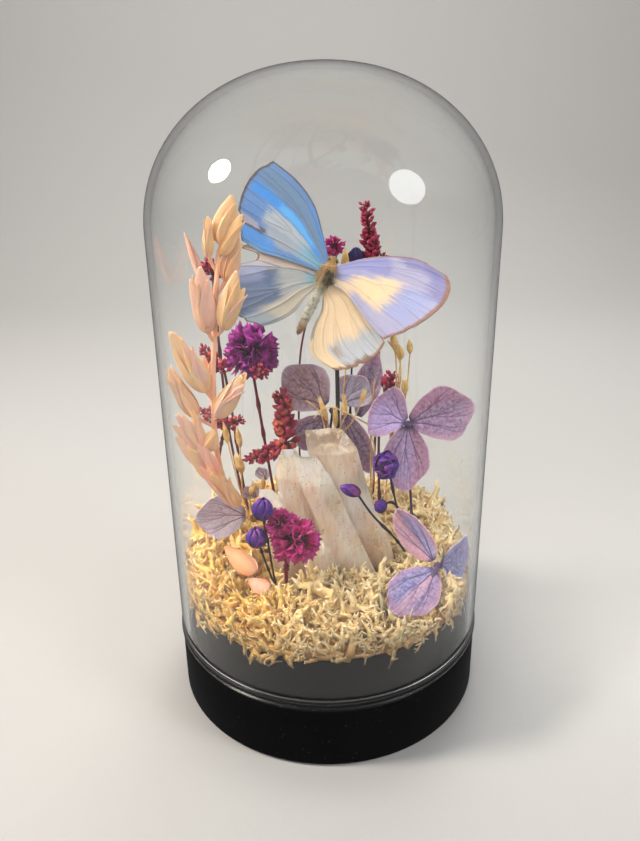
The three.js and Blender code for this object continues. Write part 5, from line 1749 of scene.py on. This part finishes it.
def crimson_finish():
    bud = Finish("crimson_buds")
    tip, shade, opened = bud.value("tip"), bud.value("shade"), bud.value("opened")
    colour = bud.mix(shade, srgb(104, 4, 34), srgb(172, 18, 70))
    colour = bud.mix(tip.rise(0.5, 1.0) * 0.4, colour, srgb(214, 76, 116))
    colour = bud.mix(bud.cloud(5, 2).rise(0.5, 0.7) * 0.5, colour, srgb(120, 20, 40))
    colour = bud.mix(opened * tip.rise(0.6, 1.0) * 0.6, colour, srgb(206, 104, 64))
    colour = bud.mix(tip.rise(0.12, 0.0) * 0.8, colour, srgb(92, 18, 34))
    relief = bud.cloud(0.4, 3)
    return bud.shade(Base_Color=colour, Roughness=relief * 0.25 + 0.4, Normal=bud.bump(relief, 0.05),
                     Subsurface_Weight=0.12, Subsurface_Scale=0.0008)


closed_buds = [small_bud(BUD_LENGTH * share, BUD_RADIUS * share**0.5, False)
               for share in (1.05, 1.0, 0.85, 0.7)]
opened_bud = small_bud(BUD_LENGTH * 0.8, OPENED_RADIUS, True)
only_buds = shape_collection("closed_bud", closed_buds)
some_opened = shape_collection("opened_bud", [*closed_buds, opened_bud])
CRIMSON_FINISH = crimson_finish()


def spike(heads, route, thickness=0.45):
    """The stems of a sprig. Buds grow on the heads, shorter towards the tip."""
    piece = Piece()
    points, faces, _ = wiry_stem(route, thickness)
    piece.add(points, faces, **soil(0.0))
    for foot, tip, radius in heads:
        foot, tip = np.array(foot, float), np.array(tip, float)
        axis = unit(tip - foot)
        start, end = foot + axis * 0.5, tip - axis * BUD_LENGTH * 0.8
        middle = (start + end) / 2 + (0.3, 0.2, 0.0)
        points, faces, share = tube([start, middle, end], [0.65, 0.6, 0.4], 24, 8)
        piece.add(points, faces, **soil(1.0, (1.08 - 0.45 * share**2) * radius / 3, axis * 0.9))
    return piece


for index, (where, (heads, route)) in enumerate(CRIMSON_SPRIGS.items()):
    shapes = only_buds if where in ALL_CLOSED else some_opened
    sprig = grown(f"crimson_sprig_{where}_buds", spike(heads, route), shapes, CRIMSON_FINISH, density=3.8,
                  size=(0.85, 1.25), lean=0.35, seed=SEED + index, apart=0.52)
    settle(sprig, "crimson_bud", f"crimson_sprig_{where}")
cluster = Piece()
points, faces = ball((-20, 4.5, 109), 1.5)
cluster.add(points, faces, **soil(0.7, 0.75, (0, -0.4, 0.3)))
settle(grown("open_bud_cluster", cluster, some_opened, CRIMSON_FINISH, density=2.6, size=(0.8, 1.1),
             lean=0.4, apart=0.6), "crimson_bud")

# %% [markdown]
# ## Seed pods
# Golden pods are teardrop capsules with five ribs, on straws about half a millimetre thick. When
# ripe they split at the top into a star of five points.

# %% Seed pods
# Foot, tip, radius and how far the top has opened, then the routes of the straws.
POD_SPRIGS = {
    "seed_pods_left": (
        [((-31.8, 5, 84), (-32.8, 4.5, 92), 1.05, 0.0), ((-27.8, 5, 82.5), (-28.6, 4.5, 90.5), 1.05, 0.0),
         ((-27.6, 4.6, 73.5), (-29.2, 3.6, 81), 1.5, 0.8), ((-25.2, 3.6, 66), (-23.4, 2.6, 71), 1.3, 1.0),
         ((-21.4, 3.8, 67), (-20.6, 3.4, 73), 0.95, 0.0)],
        [[(-31.9, 5, 85), (-29.4, 5, 70), (-26.5, 4.6, 58), (-25.8, 5, MOSS_FOOT)],
         [(-27.9, 5, 83.4), (-28, 4.9, 74), (-28.2, 5, 64)],
         [(-25.2, 3.6, 66.5), (-26, 4.4, 58), (-26, 5, 50)],
         [(-21.4, 3.8, 67.4), (-23, 4.6, 58), (-24.4, 5, MOSS_FOOT)]]),
    "seed_pods_centre": (
        [((0.6, 5, 91.5), (-2, 4, 100.5), 0.95, 0.5), ((3.2, 4.6, 89.5), (3, 3.8, 97.5), 0.9, 0.9),
         ((6.4, 5, 92.5), (5.8, 4, 101.5), 0.9, 0.6)],
        [[(0.8, 5, 92.5), (0.4, 7.2, 78), (-0.6, 9, 60), (-1, 10, MOSS_FOOT)],
         [(3.2, 4.8, 90.5), (1.6, 6.6, 82), (0, 8, 70)], [(6.4, 5, 93.5), (3.2, 6.4, 84), (0, 8, 70)]]),
}
FINE_PODS = {                    # too many for the frame, so they are made only here
    "seed_pods_right": (
        [((21.8, 6, 115), (21.0, 5.6, 121), 1.2, 0.0), ((23.8, 6, 111.5), (22.8, 5.6, 117), 1.3, 0.3),
         ((25.4, 6, 100), (25.0, 5.6, 105.5), 1.2, 0.5), ((26.6, 6, 113.5), (26.2, 5.6, 118.5), 1.0, 0.0)],
        [[(21.8, 6, 115.5), (22.6, 7, 104), (21, 9, 80), (20, 12, MOSS_FOOT)],
         [(23.8, 6, 112), (22.9, 7, 100), (21.6, 9, 84)], [(25.4, 6, 100.5), (23.4, 7.6, 92), (21.6, 9, 82)],
         [(26.6, 6, 114), (25.6, 7, 98), (22, 9, 86)], [(19.6, 6, 118), (24, 6.4, 108), (21.4, 8, 88)]]),
    "seed_pod_high": ([((6.4, 10, 137), (6.7, 9.8, 146), 1.3, 0.0)],
                      [[(6.4, 10, 137.5), (7, 14, 110), (5, 18, 80), (4, 20, MOSS_FOOT)]]),
    "seed_pod_far_left": ([((-39.6, 3.4, 60.6), (-44.4, 2.8, 62.8), 1.3, 0.0)],
                          [[(-39.8, 3.4, 60.8), (-34, 4.4, 58.6), (-29.4, 5, 52), (-28.6, 5, MOSS_FOOT)]]),
    "loose_straws": ([((11.4, 4, 98), (12.6, 3.6, 103), 0.9, 0.8)],
                     [[(11.4, 4, 98.4), (8, 5.6, 90), (2, 6.6, 84)],
                      [(-3.8, 4.2, 93), (2, 2.6, 97.4), (15, 3.6, 90)],
                      [(-6, 4.4, 99), (-1.4, 4.6, 94), (0.6, 7, 82)],
                      [(15.6, 4, 106), (14.6, 5, 92), (15, 7, 66)],
                      [(13.2, 3.6, 91.6), (16, 4, 80), (15, 7, 62)]]),
}


def add_pod(piece, foot, tip, radius, opened, rings=14, segments=20):
    length = np.linalg.norm(np.subtract(tip, foot))
    round_it = np.linspace(0, 2 * np.pi, segments, endpoint=False)
    s, turn = np.meshgrid(np.linspace(0, 1, rings + 1), round_it, indexing="ij")
    rib = np.cos(5 * turn)
    closed = np.sin(np.pi * (0.03 + 0.94 * s**0.9)) ** 0.8 * (1 - 0.45 * s**3)
    flare = 0.5 * opened * np.clip((s - 0.6) / 0.4, 0, 1) ** 1.5
    wide = radius * (closed * (1 + 0.1 * rib) + flare * (1 + 0.75 * rib))
    height = length * (s * (1 - 0.16 * opened * s**4) + 0.16 * opened * rib * s**6)
    grid = np.dstack([wide * np.cos(turn), wide * np.sin(turn), height]).reshape(-1, 3)
    points = np.concatenate([grid, [(0, 0, -0.1), (0, 0, length * (1 - 0.35 * opened))]])
    faces = []
    for ring in range(rings):
        for side in range(segments):
            a, b = ring * segments + side, ring * segments + (side + 1) % segments
            faces.append((a, b, b + segments, a + segments))
    last = rings * segments
    for side in range(segments):
        faces.append(((side + 1) % segments, side, len(points) - 2))
        faces.append((last + side, last + (side + 1) % segments, len(points) - 1))
    piece.add(stood(points, foot, tip), faces, tip=np.append(s.ravel(), (0, 1)))


def straw_finish():
    straw = Finish("golden_straw")
    tip, cloud = straw.value("tip"), straw.cloud(2.5, 3)
    colour = straw.mix(cloud.rise(0.35, 0.65), srgb(206, 160, 88), srgb(230, 198, 134))
    colour = straw.mix(tip.rise(0.55, 1.0) * 0.6, colour, srgb(240, 214, 150))
    colour = straw.mix(straw.cloud(0.5, 3).rise(0.5, 0.75) * 0.35, colour, srgb(140, 96, 44))
    return straw.shade(Base_Color=colour, Roughness=cloud * 0.3 + 0.4, Normal=straw.bump(cloud, 0.1),
                       Subsurface_Weight=0.15, Subsurface_Scale=0.0008)


def pod_sprig(pods, straws):
    piece = Piece()
    for foot, tip, radius, opened in pods:
        add_pod(piece, foot, tip, radius, opened)
    for route in straws:
        points, faces, _ = tube(route, [0.2, 0.26, 0.3], 30, 6)
        piece.add(points, faces, tip=0.0)
    return piece


STRAW_FINISH = straw_finish()
for pod_name, (pods, straws) in {**POD_SPRIGS, **FINE_PODS}.items():
    sprig = pod_sprig(pods, straws).make(f"{pod_name}_and_straws", STRAW_FINISH)
    settle(sprig, "straw", *([pod_name] if pod_name in POD_SPRIGS else []))

# %% [markdown]
# Two pale lilac petals have dropped from the florets and hang at the left, above the loose one.
# They are the same petals, made smaller and flatter.

# %% Dropped petals
DROPPED = {
    "dropped_petal_high": dict(foot=(-20, 4.4, 71), tip=(-22, 3.6, 76), facing=(-0.3, -1, 0), width=5,
                               cup=0.4, bow=0.3, body=PALE, rim=SILVER),
    "dropped_petal_low": dict(foot=(-23.4, 4, 64.6), tip=(-26.8, 3, 69), facing=(-0.2, -1, 0.2), width=6,
                              cup=0.4, bow=0.4, body=PALE, rim=SILVER),
}
for petal_name, petal_shape in DROPPED.items():
    settle(petal_mesh(**petal_shape).make(petal_name, PETAL_FINISH), "hydrangea_petal")

# %% [markdown]
# The last step gives a helper that rounds the corners of a box to six places.

# %% Box corners
def corners(box):
    return [[round(float(value), 6) for value in corner] for corner in box]
